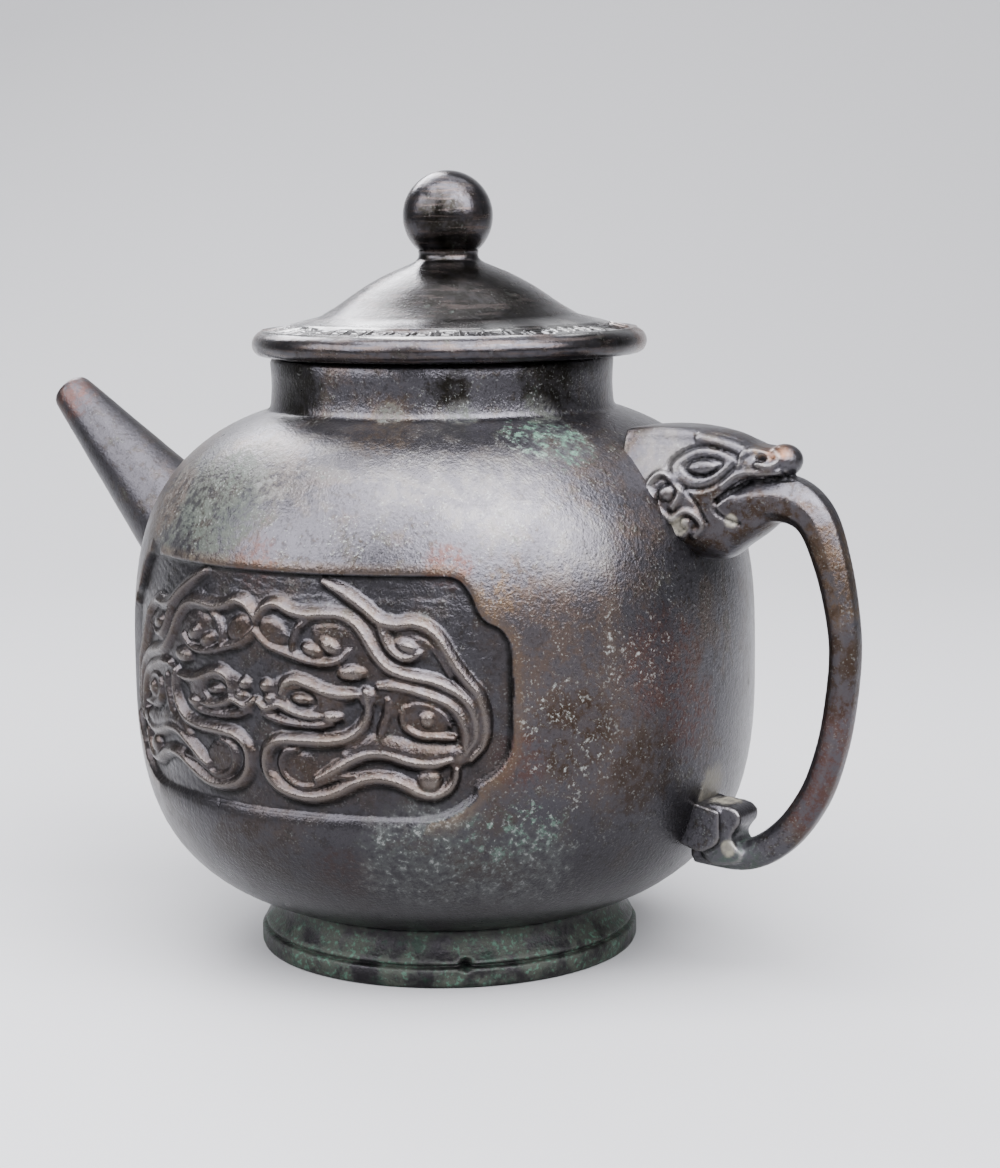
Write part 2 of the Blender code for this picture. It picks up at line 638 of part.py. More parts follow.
def main():
    clear_scene()
    pieces = new_collection("bronze_ewer")
    tools = new_collection("cutters")

    seat = bowl_solid("bowl_seat", SEAM, tools)
    ground = bowl_solid("panel_ground", -PANEL_DEPTH, tools, GROUND_STEPS)
    bore = turned("spout_bore", bore_profile(), tools, steps=SPOUT_STEPS)
    aim(bore)

    body = turned("body", bowl_profile(), pieces, bronze("body_bronze", (0.075, 0.066, 0.058), 0.42))
    panel_turns = {"front": 0.0, "back": math.pi}
    for label, turn in panel_turns.items():
        boolean(body, "DIFFERENCE", panel_cutter("panel_" + label, turn, ground, tools))
    boolean(body, "DIFFERENCE", bore)
    relief = place("relief", relief_mesh("relief", panel_turns.values()), tools)
    boolean(body, "UNION", relief, self_crossing=True)
    trim_flat(body)

    spout = turned(
        "spout", spout_profile(), pieces, bronze("spout_bronze", (0.085, 0.075, 0.072), 0.38),
        closed=True, steps=SPOUT_STEPS,
    )
    aim(spout)
    boolean(spout, "DIFFERENCE", seat)

    handle = place(
        "handle", head_mesh("handle", HEAD_SECTIONS), pieces,
        bronze("handle_bronze", (0.095, 0.062, 0.045), 0.36),
    )
    for shape in (
        place("handle_jaw", head_mesh("handle_jaw", JAW_SECTIONS), tools),
        bar_object("handle_bar", tools),
        block_object("handle_block", tools),
        place("handle_face", face_mesh("handle_face"), tools),
    ):
        boolean(handle, "UNION", shape, self_crossing=shape.name == "handle_face")
    boolean(handle, "DIFFERENCE", seat)

    lid = turned(
        "lid", lid_profile(), pieces, bronze("lid_bronze", (0.070, 0.058, 0.045), 0.30), steps=LID_STEPS,
    )
    lid.location = (LID_SHIFT[0], LID_SHIFT[1], 0.0)

    # The bowl's axis stands off the middle of the outline, because the spout reaches further than the handle
    spout_reach = SPOUT_REACH + SPOUT_TIP_RADIUS * math.sin(SPOUT_SLOPE)
    handle_reach = BOWL_RADIUS + HANDLE_REACH
    axis = bpy.data.objects.new("bowl_axis", None)
    pieces.objects.link(axis)
    axis.location = ((spout_reach - handle_reach) / 2.0, 0.0, 0.0)
    for group in (pieces, tools):
        for obj in group.objects:
            if obj is not axis:
                obj.parent = axis


main()
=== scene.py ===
# Bronze ewer: a round bowl with a carved panel on each side, a straight spout, a handle that comes out of
# a beast's mouth, and a loose lid. Lengths in the settings are millimetres, measured from the bowl's axis.

import math

import bmesh
import bpy
import numpy as np
from mathutils import Matrix, Vector


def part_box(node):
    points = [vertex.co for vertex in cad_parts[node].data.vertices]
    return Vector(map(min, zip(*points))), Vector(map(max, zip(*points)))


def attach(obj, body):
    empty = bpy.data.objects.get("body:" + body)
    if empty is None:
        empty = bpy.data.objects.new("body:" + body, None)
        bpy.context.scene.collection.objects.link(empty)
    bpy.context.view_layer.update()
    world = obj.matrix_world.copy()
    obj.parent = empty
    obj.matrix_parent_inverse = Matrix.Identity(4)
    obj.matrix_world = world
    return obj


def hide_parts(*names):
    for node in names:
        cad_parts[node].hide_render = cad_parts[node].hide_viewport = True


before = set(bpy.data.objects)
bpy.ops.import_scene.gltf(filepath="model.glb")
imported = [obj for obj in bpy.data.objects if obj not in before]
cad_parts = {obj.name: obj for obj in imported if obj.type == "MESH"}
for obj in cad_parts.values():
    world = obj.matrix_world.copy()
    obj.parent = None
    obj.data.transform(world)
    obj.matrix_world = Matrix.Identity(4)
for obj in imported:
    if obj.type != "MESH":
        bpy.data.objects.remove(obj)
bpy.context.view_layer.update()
print("frame loaded")

mm = 0.001
bodyLow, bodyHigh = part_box("body")
lidLow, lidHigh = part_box("lid")
axisX = 0.5 * (bodyLow[0] + bodyHigh[0])
lidX = 0.5 * (lidLow[0] + lidHigh[0])
lidY = 0.5 * (lidLow[1] + lidHigh[1])


# Small helpers for working as by hand

def deselectAll():
    if bpy.context.object and bpy.context.object.mode != "OBJECT":
        bpy.ops.object.mode_set(mode="OBJECT")
    bpy.ops.object.select_all(action="DESELECT")


def pick(piece):
    deselectAll()
    piece.select_set(True)
    bpy.context.view_layer.objects.active = piece


def editPiece(piece):
    pick(piece)
    bpy.ops.object.mode_set(mode="EDIT")
    return bmesh.from_edit_mesh(piece.data)


def named(name):
    piece = bpy.context.object
    piece.name = name
    piece.data.name = name
    return piece


def applyAll(piece):
    pick(piece)
    for modifier in list(piece.modifiers):
        bpy.ops.object.modifier_apply(modifier=modifier.name)


def smoothed(piece, angle):
    pick(piece)
    bpy.ops.object.shade_smooth_by_angle(angle=math.radians(angle))


def cleaned(piece, distance=0.002):
    editPiece(piece)
    bpy.ops.mesh.select_all(action="SELECT")
    bpy.ops.mesh.remove_doubles(threshold=distance * mm)
    bpy.ops.mesh.normals_make_consistent(inside=False)
    bpy.ops.object.mode_set(mode="OBJECT")


def turnedPiece(name, outline, steps, closed=False, centre=(0.0, 0.0)):
    # a ring of points is laid on the outline, then spun about the upright axis
    deselectAll()
    bpy.ops.mesh.primitive_circle_add(vertices=len(outline), radius=mm, fill_type="NOTHING")
    piece = named(name)
    bm = editPiece(piece)
    bm.verts.ensure_lookup_table()
    for vert, (radius, height) in zip(bm.verts, outline):
        vert.co = (centre[0] + radius * mm, centre[1], height * mm)
    if not closed:
        ends = {bm.verts[0], bm.verts[-1]}
        bm.edges.remove(next(edge for edge in bm.edges if set(edge.verts) == ends))
    bmesh.update_edit_mesh(piece.data)
    bpy.ops.mesh.select_all(action="SELECT")
    bpy.ops.mesh.spin(steps=steps, angle=2 * math.pi, center=(centre[0], centre[1], 0), axis=(0, 0, 1))
    bpy.ops.object.mode_set(mode="OBJECT")
    cleaned(piece)
    return piece


def loftedPiece(name, rings):
    # a grid wrapped round a row of closed rings, then closed at both ends
    rings = np.asarray(rings)
    rows, around = rings.shape[:2]
    deselectAll()
    bpy.ops.mesh.primitive_grid_add(x_subdivisions=around, y_subdivisions=rows - 1, size=2.0)
    piece = named(name)
    bm = editPiece(piece)
    for vert in bm.verts:
        i = round((vert.co.y + 1) / 2 * (rows - 1))
        j = round((vert.co.x + 1) / 2 * around) % around
        vert.co = rings[i][j] * mm + np.array((axisX, 0.0, 0.0))
    bmesh.update_edit_mesh(piece.data)
    bpy.ops.mesh.select_all(action="SELECT")
    bpy.ops.mesh.remove_doubles(threshold=0.002 * mm)
    bpy.ops.mesh.fill_holes(sides=0)
    bpy.ops.mesh.select_all(action="SELECT")
    bpy.ops.mesh.normals_make_consistent(inside=False)
    bpy.ops.object.mode_set(mode="OBJECT")
    return piece


def cutBy(piece, tool, operation="DIFFERENCE"):
    pick(piece)
    cut = piece.modifiers.new("cut", "BOOLEAN")
    cut.object = tool
    cut.operation = operation
    cut.solver = "EXACT"
    bpy.ops.object.modifier_apply(modifier="cut")
    bpy.data.objects.remove(tool, do_unlink=True)


def pointsOf(piece):
    flat = np.empty(3 * len(piece.data.vertices))
    piece.data.vertices.foreach_get("co", flat)
    return flat.reshape(-1, 3)


def setPoints(piece, points):
    piece.data.vertices.foreach_set("co", points.ravel())
    piece.data.update()


def storeMask(piece, name, values):
    mask = piece.data.attributes.new(name, "FLOAT", "POINT")
    mask.data.foreach_set("value", np.asarray(values, dtype=np.float32))


def storeEdges(piece, sharpness, spread=2):
    # how far each point stands out of, or lies below, its neighbours: worn edges, and creases that get painted shade
    points = pointsOf(piece)
    normals = np.empty(3 * len(points))
    piece.data.vertices.foreach_get("normal", normals)
    ends = np.empty(2 * len(piece.data.edges), dtype=np.int64)
    piece.data.edges.foreach_get("vertices", ends)
    ends = ends.reshape(-1, 2)
    count = np.maximum(np.bincount(ends.ravel(), minlength=len(points)), 1)

    def around(values):
        total = np.bincount(ends[:, 0], values[ends[:, 1]], len(points))
        return (total + np.bincount(ends[:, 1], values[ends[:, 0]], len(points))) / count

    length = np.linalg.norm(points[ends[:, 0]] - points[ends[:, 1]], axis=1)
    reach = np.bincount(ends.ravel(), np.repeat(length, 2), len(points)) / count
    lift = np.zeros(len(points))
    for axis in range(3):
        lift += (points[:, axis] - around(points[:, axis])) * normals.reshape(-1, 3)[:, axis]
    lift = lift * mm / np.maximum(reach, 1e-6) ** 2
    for _ in range(spread):
        lift = 0.5 * lift + 0.5 * around(lift)
    storeMask(piece, "edge", eased(lift * sharpness - 0.15))
    storeMask(piece, "crease", eased(-lift * sharpness - 0.1))


# Curves as rows of points

def smoothCurve(points, perSpan=8, closed=False):
    points = np.asarray(points, dtype=float)
    if closed:
        padded = np.vstack([points[-1:], points, points[:2]])
    else:
        padded = np.vstack([2 * points[0] - points[1], points, 2 * points[-1] - points[-2]])
    steps = np.linspace(0, 1, perSpan, endpoint=False)[:, None]
    rows = []
    for a, b, c, d in zip(padded, padded[1:], padded[2:], padded[3:]):
        bend = 2 * a - 5 * b + 4 * c - d
        twist = 3 * b - a - 3 * c + d
        rows.append(0.5 * (2 * b + (c - a) * steps + bend * steps ** 2 + twist * steps ** 3))
    if not closed:
        rows.append(points[-1:])
    return np.vstack(rows)


def distanceTo(curve, points, reach):
    # distance from each point to a row of points, and how far along it the nearest place is
    away = np.full(len(points), 1e3)
    along = np.zeros(len(points))
    low, high = curve.min(axis=0) - reach, curve.max(axis=0) + reach
    near = np.nonzero(((points > low) & (points < high)).all(axis=1))[0]
    if not len(near):
        return away, along
    spots = points[near]
    best = away[near]
    place = along[near]
    lengths = np.hypot(*np.diff(curve, axis=0).T)
    walked = 0.0
    for start, step, length in zip(curve, np.diff(curve, axis=0), lengths):
        share = np.clip((spots - start) @ step / max(length ** 2, 1e-9), 0, 1)
        gap = np.hypot(*(spots - start - share[:, None] * step).T)
        closer = gap < best
        best = np.where(closer, gap, best)
        place = np.where(closer, walked + share * length, place)
        walked += length
    away[near] = best
    along[near] = place / walked
    return away, along


def insideOf(outline, points):
    inside = np.zeros(len(points), dtype=bool)
    for (x0, y0), (x1, y1) in zip(outline, np.roll(outline, -1, axis=0)):
        if y0 != y1:
            crossing = (points[:, 1] > min(y0, y1)) & (points[:, 1] <= max(y0, y1))
            at = x0 + (points[:, 1] - y0) * (x1 - x0) / (y1 - y0)
            inside ^= crossing & (points[:, 0] < at)
    return inside


def eased(values):
    values = np.clip(values, 0, 1)
    return values * values * (3 - 2 * values)


def waviness(points, size, seed):
    # a soft unevenness from crossed waves, between 0 and 1
    picks = np.random.default_rng(seed)
    total = np.zeros(len(points))
    for _ in range(9):
        way = picks.normal(size=3)
        way *= picks.uniform(0.6, 1.7) / np.linalg.norm(way)
        total += np.sin(2 * math.pi * (points @ way) / size + picks.uniform(0, 6.3))
    return 0.5 + 0.5 * np.clip(total / 4.5, -1, 1)


# Bowl

bowl = dict(
    radius=55.75, middle=52.0, rise=47.8, drop=45.5, squareness=3.0, wall=3.0,
    neckRadius=30.5, neckTop=106.1, neckWall=2.6, neckFillet=1.6,
    footRadius=34.25, footWaist=31.3, footWall=4.6,
    steps=120, panelRows=16, panelMargin=2.4, panelCuts=8, unevenness=0.13, flawTurn=39.5,
)

panel = dict(
    halfAngle=46.0, bottom=33.6, top=74.2, halfWidth=44.2, depth=1.45, wallWidth=0.62, ledgeWidth=1.5, ledgeTop=45.0,
    wallDrop=1.18, coveWidth=3.2, shy=0.06,
)

# Half of the panel's outline: distance round the bowl from the panel's middle, and height
panelEdge = [
    (30.0, 74.2), (33.6, 74.1), (35.5, 73.6), (36.9, 72.3), (38.0, 70.5), (38.8, 68.4), (40.1, 66.8),
    (42.2, 65.7), (43.5, 63.9), (44.1, 61.6), (44.2, 54.0), (44.0, 47.2), (43.2, 44.2), (41.5, 42.0),
    (39.7, 40.7), (38.5, 39.8), (38.3, 38.5), (37.0, 37.0), (34.9, 35.5), (32.2, 34.4), (28.5, 33.75),
    (24.0, 33.6),
]

# Strokes of one dragon: width in millimetres, height as a share of the panel's depth, and points as
# percentages across from the panel's middle and up from its bottom
dragonStrokes = [
    # outer ribbon, from the top edge down the outside
    (2.9, 1.0, [(29, 97), (38, 92), (45, 87), (51, 82), (57, 80.5), (64, 81), (69, 79), (73, 75), (76, 69.5),
                (79, 64), (83, 58), (87, 52.5), (89, 46), (89.5, 39), (88, 32), (84, 27)]),
    # curl that leaves it and ends under a ball
    (2.4, 0.95, [(51, 81), (53, 75), (55, 71), (58.5, 68), (62, 67.5), (66, 69.5)]),
    (1.1, 0.5, [(67, 75), (71, 71), (74.5, 65), (77, 60)]),
    # long ribbon that starts where the two dragons cross
    (2.7, 1.0, [(-2, 77), (1, 82), (5, 86), (10, 87), (16, 84.5), (22, 83.5), (29, 84), (35, 84), (40, 82),
                (44, 78), (47, 73), (50, 68), (54, 63.5), (59, 61), (65, 59.5), (71, 58), (76, 55.5), (81, 52),
                (84.5, 47), (86, 41), (85.5, 35), (82, 29)]),
    # leaf below it, with a raised lower rim
    (2.0, 0.85, [(-1, 77), (2, 73.5), (7, 70), (13, 68), (18, 66.5), (24, 65), (30, 64.5), (36, 66), (40, 70)]),
    (1.7, 0.8, [(17, 68), (17, 73), (19, 78), (23, 81)]),
    # middle ribbon of the back
    (2.6, 0.95, [(51, 56), (57, 56), (63, 54.5), (70, 52), (76, 49), (80, 44.5), (82.5, 38), (82, 31)]),
    # shoulder curl: upper and lower limbs
    (1.3, 0.7, [(61, 48), (65, 49), (70, 48), (74, 45), (77, 40.5)]),
    (1.9, 0.85, [(60.5, 48), (59.5, 44), (61, 39.5), (66, 36.5), (72, 36), (78, 35.5)]),
    # brow and snout
    (2.7, 1.0, [(12, 51.5), (13.5, 55), (18, 57), (24, 55.5), (30, 53), (36, 52), (43, 52.5)]),
    # upper lip, jaw
    (2.3, 0.95, [(1, 47), (5, 44.5), (11, 46.5), (16, 44.5), (22, 43), (28, 43)]),
    (1.9, 0.75, [(3, 42.5), (9, 40.5), (17, 39.3), (26, 39.2), (33, 40.5)]),
    # neck that loops forward under the jaw and back along the bottom as the lower band
    (2.8, 1.0, [(46, 54), (47, 49), (46, 43), (43, 38), (38, 34.5), (30, 33), (20, 32.7), (11, 32), (5.5, 28.5),
                (4, 23), (5, 17.5), (9, 13), (15, 10.5), (22, 9.5), (29, 10.5), (35, 13), (41, 16.5), (47, 18.5),
                (54, 18.5), (60, 16.2), (65, 13.3), (70, 12.2), (75, 14), (78, 18), (79, 23)]),
    # inner ring of the loop
    (1.7, 0.8, [(18, 29), (13, 27.5), (11, 23), (12.5, 18), (17, 14.5), (23, 13.8), (28, 16), (34, 18.5), (41, 19.5)]),
    # trunk: its crest, and the broad slope above it
    (2.9, 1.0, [(26, 17.5), (31, 20), (37, 24), (43, 27.5), (49, 29), (55, 28.3), (62, 26), (70, 25), (77, 27)]),
    (4.2, 0.66, [(38, 27), (44, 31), (50, 32), (56, 31), (63, 29), (70, 28.3), (76, 29.5)]),
    # straps behind the head
    (2.0, 0.8, [(54, 51), (54, 46), (52.5, 41), (51, 36)]),
]

# Raised drops: across, up, then width and height in millimetres, turn in degrees, and height
dragonDrops = [
    (32.5, 71.5, 4.6, 2.8, -28, 1.0), (25, 69.5, 4.4, 2.4, -20, 0.9), (61.5, 72, 4.4, 2.4, -20, 1.0),
    (40.5, 61, 5.6, 2.8, 0, 1.0), (5, 53.5, 2.9, 2.4, 0, 0.95), (7, 48.5, 3.3, 2.0, 0, 0.9),
    (33, 43, 4.2, 2.2, 5, 1.0), (69, 18, 4.4, 3.9, 0, 1.0), (68.5, 43, 3.0, 3.2, 0, 1.0),
    (46.5, 51.5, 3.4, 3.4, 0, 0.8), (80, 28, 5.0, 3.4, 30, 0.85),
]

# Ground that swells inside the curls: the same, with lower heights
dragonSwells = [
    (8, 76, 6.5, 4.2, -28, 0.55), (34, 74, 9.0, 6.0, -20, 0.42), (22, 50, 15.0, 7.0, -8, 0.5),
    (19, 21, 7.5, 6.0, 0, 0.35), (68, 43, 8.5, 5.0, -10, 0.4), (63, 72, 7.0, 5.0, -20, 0.35),
    (45, 72, 20.0, 10.0, -35, 0.22), (60, 50, 12.0, 6.0, -20, 0.3),
]
dragonEye = (20.5, 49.5, 4.4, 1.9)


def bowlRadius(height, grow=0.0):
    reach = np.where(height > bowl["middle"], bowl["rise"], bowl["drop"]) + grow
    share = np.clip(np.abs(height - bowl["middle"]) / reach, 0, 1)
    return (bowl["radius"] + grow) * (1 - share ** bowl["squareness"]) ** (1 / bowl["squareness"])


def bowlHeight(radius, upper, grow=0.0):
    lift = (1 - (radius / (bowl["radius"] + grow)) ** bowl["squareness"]) ** (1 / bowl["squareness"])
    return bowl["middle"] + ((bowl["rise"] + grow) * lift if upper else -(bowl["drop"] + grow) * lift)


def bowlArc(fromHeight, toRadius, upper, count, grow=0.0):
    # evenly turning points of the outline between a height and a radius further in
    power = 2 / bowl["squareness"]
    reach = (bowl["rise"] if upper else bowl["drop"]) + grow
    start = math.asin((abs(fromHeight - bowl["middle"]) / reach) ** (1 / power))
    end = math.acos((toRadius / (bowl["radius"] + grow)) ** (1 / power))
    sign = 1 if upper else -1
    points = []
    for i in range(count + 1):
        angle = start + (end - start) * i / count
        radius = (bowl["radius"] + grow) * math.cos(angle) ** power
        points.append((radius, bowl["middle"] + sign * reach * math.sin(angle) ** power))
    return points


def bowlOutline():
    neck, fillet = bowl["neckRadius"], bowl["neckFillet"]
    bore = neck - bowl["neckWall"]
    low = panel["bottom"] - bowl["panelMargin"]
    high = panel["top"] + bowl["panelMargin"]
    floor = bowl["middle"] - bowl["drop"] + bowl["wall"]
    inside = bowlArc(bowl["middle"], bore, True, 5, -bowl["wall"])[::-1]
    inside += bowlArc(bowl["middle"], 14.0, False, 6, -bowl["wall"])[1:]
    rim = [(bore, 97.5), (bore, 104.8), (bore + 0.4, 105.8), (bore + 0.9, 106.1), (neck - 0.9, 106.1),
           (neck - 0.3, 105.9), (neck, 105.3)]
    side = [(neck - 0.15, 103.0), (neck - 0.2, 101.0), (neck - 0.1, 99.4)]
    top = bowlHeight(neck + fillet, True)
    side += [(neck, top + fillet), (neck + 0.12 * fillet, top + 0.5 * fillet),
             (neck + 0.45 * fillet, top + 0.15 * fillet)]
    shoulder = bowlArc(high, neck + fillet, True, 15)[::-1]
    rows = np.linspace(high, low, bowl["panelRows"] + 1)[1:-1]
    belly = [(float(bowlRadius(height)), float(height)) for height in rows]
    under = bowlArc(low, bowl["footWaist"], False, 15)
    waist, band, ring = bowl["footWaist"], bowl["footRadius"], bowl["footRadius"] - bowl["footWall"]
    foot = [
        (waist - 0.1, 8.8), (waist + 0.02, 7.9), (waist + 0.4, 6.9), (waist + 1.0, 5.9), (waist + 1.65, 5.1),
        (waist + 2.1, 4.6), (waist + 2.25, 4.25), (waist + 2.1, 3.95), (waist + 1.65, 3.8), (waist + 1.7, 3.6),
        (waist + 2.3, 3.5), (band - 0.25, 3.4), (band, 3.05), (band, 2.0), (band, 0.8), (band - 0.25, 0.2),
        (band - 0.8, 0.0), (ring + 0.5, 0.0), (ring, 0.5), (ring - 0.5, 4.2), (ring - 1.8, 5.6), (18.0, 6.3),
        (0.0, bowl["middle"] - bowl["drop"]),
    ]
    return [(0.0, floor)] + inside[::-1] + rim + side + shoulder + belly + under + foot


def ridge(away, halfWidth):
    # a worn ridge: a rounded crest over sloping flanks
    share = np.clip(away / halfWidth, 0, 1)
    return 0.35 * np.sqrt(1 - share ** 2.2) + 0.65 * (1 - share ** 1.2)


def dragonHeight(places):
    # relief over the panel's ground, from 0 to 1, at places given as distance from the middle and height
    scale = np.array((panel["halfWidth"], panel["top"] - panel["bottom"])) / 100
    foot = np.array((0.0, panel["bottom"]))
    height = np.zeros(len(places))
    for across, up, wide, tall, turn, lift in dragonSwells:
        swell = dropHeight(places, np.array((across, up)) * scale + foot, wide, tall, turn)
        height = np.maximum(height, lift * eased(1.1 * swell))
    for width, lift, points in dragonStrokes:
        curve = smoothCurve(np.array(points) * scale + foot)
        away, along = distanceTo(curve, places, width)
        taper = 0.66 + 0.34 * eased(np.minimum(along, 1 - along) * 8)
        height = np.maximum(height, lift * ridge(away, 0.5 * width * taper))
    for across, up, wide, tall, turn, lift in dragonDrops:
        height = np.maximum(height, lift * dropHeight(places, np.array((across, up)) * scale + foot, wide, tall, turn))
    across, up, wide, tall = dragonEye
    spot = np.array((across, up)) * scale + foot
    socket = dropHeight(places, spot, wide + 1.5, tall + 1.4, -6)
    height = np.where(socket > 0, height * (1 - 0.8 * eased(socket * 2)), height)
    return np.maximum(height, 0.85 * dropHeight(places, spot, wide, tall, -6))


def dropHeight(places, spot, wide, tall, turn):
    turn = math.radians(turn)
    x, y = (places - spot).T
    a = (x * math.cos(turn) + y * math.sin(turn)) / (0.5 * wide)
    b = (y * math.cos(turn) - x * math.sin(turn)) / (0.5 * tall)
    return np.sqrt(np.clip(1 - a * a - b * b, 0, 1))


def carvePanels(points):
    # moves the fine belly points to the carved surface and returns masks for the finish, among them painted shade and
    # shadow in the sunk panel
    x = points[:, 0] / mm - axisX / mm
    y = points[:, 1] / mm
    z = points[:, 2] / mm
    radius = np.hypot(x, y)
    outside = radius > bowlRadius(z) - 0.5 * bowl["wall"]
    outside &= (z > panel["bottom"] - 2) & (z < panel["top"] + 2)
    angle = np.arctan2(x, np.abs(y))
    arc = np.abs(angle) * panel["halfWidth"] / math.radians(panel["halfAngle"])
    zone = outside & (arc < panel["halfWidth"] + 2)
    places = np.stack([arc[zone], z[zone]], axis=1)
    edge = np.vstack([[(-3.0, panel["top"])], smoothCurve(panelEdge, 5), [(-3.0, panel["bottom"])]])
    away, _ = distanceTo(edge, places, 60)
    inside = insideOf(edge, places)
    # steep under the top edge, a broad sloping ledge along the bottom
    ledge = eased((panel["ledgeTop"] - places[:, 1]) / 10)
    wallWidth = panel["wallWidth"] + (panel["ledgeWidth"] - panel["wallWidth"]) * ledge
    wall = np.sin(0.5 * math.pi * np.clip(away / wallWidth, 0, 1)) ** 1.3
    cove = np.clip(away / panel["coveWidth"], 0, 1)
    depth = wall * (panel["wallDrop"] + (panel["depth"] - panel["wallDrop"]) * cove)
    depth = np.where(inside, depth, 0)
    relief = dragonHeight(places) * np.where(inside, eased(away / 1.2), 0)
    worn = 0.88 + 0.12 * waviness(points[zone] / mm, 6.0, 5)
    chased = 0.09 * waviness(points[zone] / mm * (1, 1, 1.6), 2.6, 9) * wall * (1 - relief)
    sunk = depth - relief * worn * (depth - panel["shy"]) - np.where(inside, chased, 0)
    lip = np.where(inside, 0, 0.12 * eased(1 - away / 1.0))
    sink = np.zeros(len(points))
    sink[zone] = sunk + lip
    masks = {}
    crest = eased((relief - 0.72) / 0.25)
    flank = eased(relief * 3) * (1 - crest)
    # painted shade: the panel's sunk ground away from the strokes, darkened by the finish
    ground = np.where(inside, eased(away / 0.4), 0) * (1 - eased(relief * 2.2))
    # painted shadow: a dark band just inside the panel's top and upper side edges, and on the ground just below the
    # raised strokes
    shade = np.where(inside, 1 - ledge, 0) * eased(away / 0.3) * eased(1.9 - away / 0.7)
    shade = np.maximum(shade, ground * eased(dragonHeight(places + (0.0, 0.75)) * 1.6))
    for name, values in (("crest", crest), ("flank", flank), ("ground", ground), ("shade", shade)):
        masks[name] = np.zeros(len(points))
        masks[name][zone] = values
    edgeMask = np.zeros(len(points))
    edgeMask[zone] = np.where(inside, 0, eased(1.25 - away / 1.8))
    masks["panelRim"] = edgeMask
    return sink, outside & (radius > 40), masks


def makeBody():
    body = turnedPiece("ewerBody", bowlOutline(), bowl["steps"], centre=(axisX, 0.0))
    bore = spoutTool("spoutHole", spout["boreTip"], spout["boreBase"], 8.0)
    cutBy(body, bore)
    bm = editPiece(body)
    bpy.ops.mesh.select_all(action="DESELECT")
    low = panel["bottom"] - bowl["panelMargin"]
    high = panel["top"] + bowl["panelMargin"]
    reach = math.radians(panel["halfAngle"] + 3.2)
    for face in bm.faces:
        spot = face.calc_center_median() / mm - Vector((axisX / mm, 0, 0))
        near = abs(math.atan2(spot.x, abs(spot.y))) < reach and math.hypot(spot.x, spot.y) > 51.5
        face.select = near and low - 0.1 < spot.z < high + 0.1
    bm.select_flush_mode()
    bmesh.update_edit_mesh(body.data)
    bpy.ops.mesh.subdivide(number_cuts=bowl["panelCuts"])
    bpy.ops.mesh.select_all(action="DESELECT")
    for face in bm.faces:
        spot = face.calc_center_median() / mm - Vector((axisX / mm, 0, 0))
        turn = math.degrees(math.atan2(spot.x, -spot.y)) - bowl["flawTurn"]
        face.select = abs(turn) < 9 and 0.3 < spot.z < 7.5 and math.hypot(spot.x, spot.y) > 30.5
    bm.select_flush_mode()
    bmesh.update_edit_mesh(body.data)
    bpy.ops.mesh.subdivide(number_cuts=4)
    bpy.ops.object.mode_set(mode="OBJECT")

    points = pointsOf(body)
    sink, belly, masks = carvePanels(points)
    local = points / mm - np.array((axisX / mm, 0, 0))
    radius = np.hypot(local[:, 0], local[:, 1])
    outer = (radius > bowlRadius(local[:, 2]) - 0.5 * bowl["wall"]) & (local[:, 2] > 8.5) & (local[:, 2] < 98)
    outer &= radius > bowl["neckRadius"] + bowl["neckFillet"]
    uneven = bowl["unevenness"] * waviness(local, 26.0, 3)
    target = np.where(belly, bowlRadius(local[:, 2]), radius) - sink - np.where(outer, uneven, 0)
    # a casting flaw in the foot's step
    turn = np.degrees(np.arctan2(local[:, 0], -local[:, 1])) - bowl["flawTurn"]
    flaw = np.hypot(turn * 0.58 * (1 + 0.5 * (turn > 0)), (local[:, 2] - 4.1) * 1.4)
    flaw += 0.7 * waviness(local, 2.2, 21)
    target -= np.where(local[:, 2] < 7, 1.5 * eased(1.25 - flaw / 1.9) * (radius > 31), 0)
    scale = np.where(radius > 1, target / np.maximum(radius, 1e-6), 1)
    points[:, 0] = axisX + local[:, 0] * scale * mm
    points[:, 1] = local[:, 1] * scale * mm
    setPoints(body, points)
    for name, values in masks.items():
        storeMask(body, name, values)
    smoothed(body, 80)
    return body


# Spout

spout = dict(
    slope=41.3, reach=89.7, tipHeight=97.3, tipRadius=3.85, flare=0.152, boreTip=2.55, boreBase=0.115,
    length=57.0, round=0.9, steps=72, sink=0.25,
)


def aimSpout(piece):
    # lay a piece that stands on its own axis along the spout's
    tip = Matrix.Translation((axisX - spout["reach"] * mm, 0, spout["tipHeight"] * mm))
    piece.data.transform(tip @ Matrix.Rotation(math.radians(spout["slope"] - 90), 4, "Y"))
    piece.data.update()


def spoutTool(name, tipRadius, flare, past):
    length = spout["length"] + past
    outline = [(0, -0.55 * length), (tipRadius + 0.55 * length * flare, -0.55 * length),
               (tipRadius + length * flare, -length), (0, -length)]
    tool = turnedPiece(name, outline, 36)
    aimSpout(tool)
    return tool


def bowlTool(grow, name):
    low, high = bowl["footWaist"], bowl["neckRadius"] + bowl["neckFillet"]
    outline = bowlArc(bowl["middle"], high, True, 24, grow)[::-1] + bowlArc(bowl["middle"], low, False, 24, grow)[1:]
    outline = [(0, outline[0][1])] + outline + [(0, outline[-1][1])]
    return turnedPiece(name, outline, 96, centre=(axisX, 0.0))


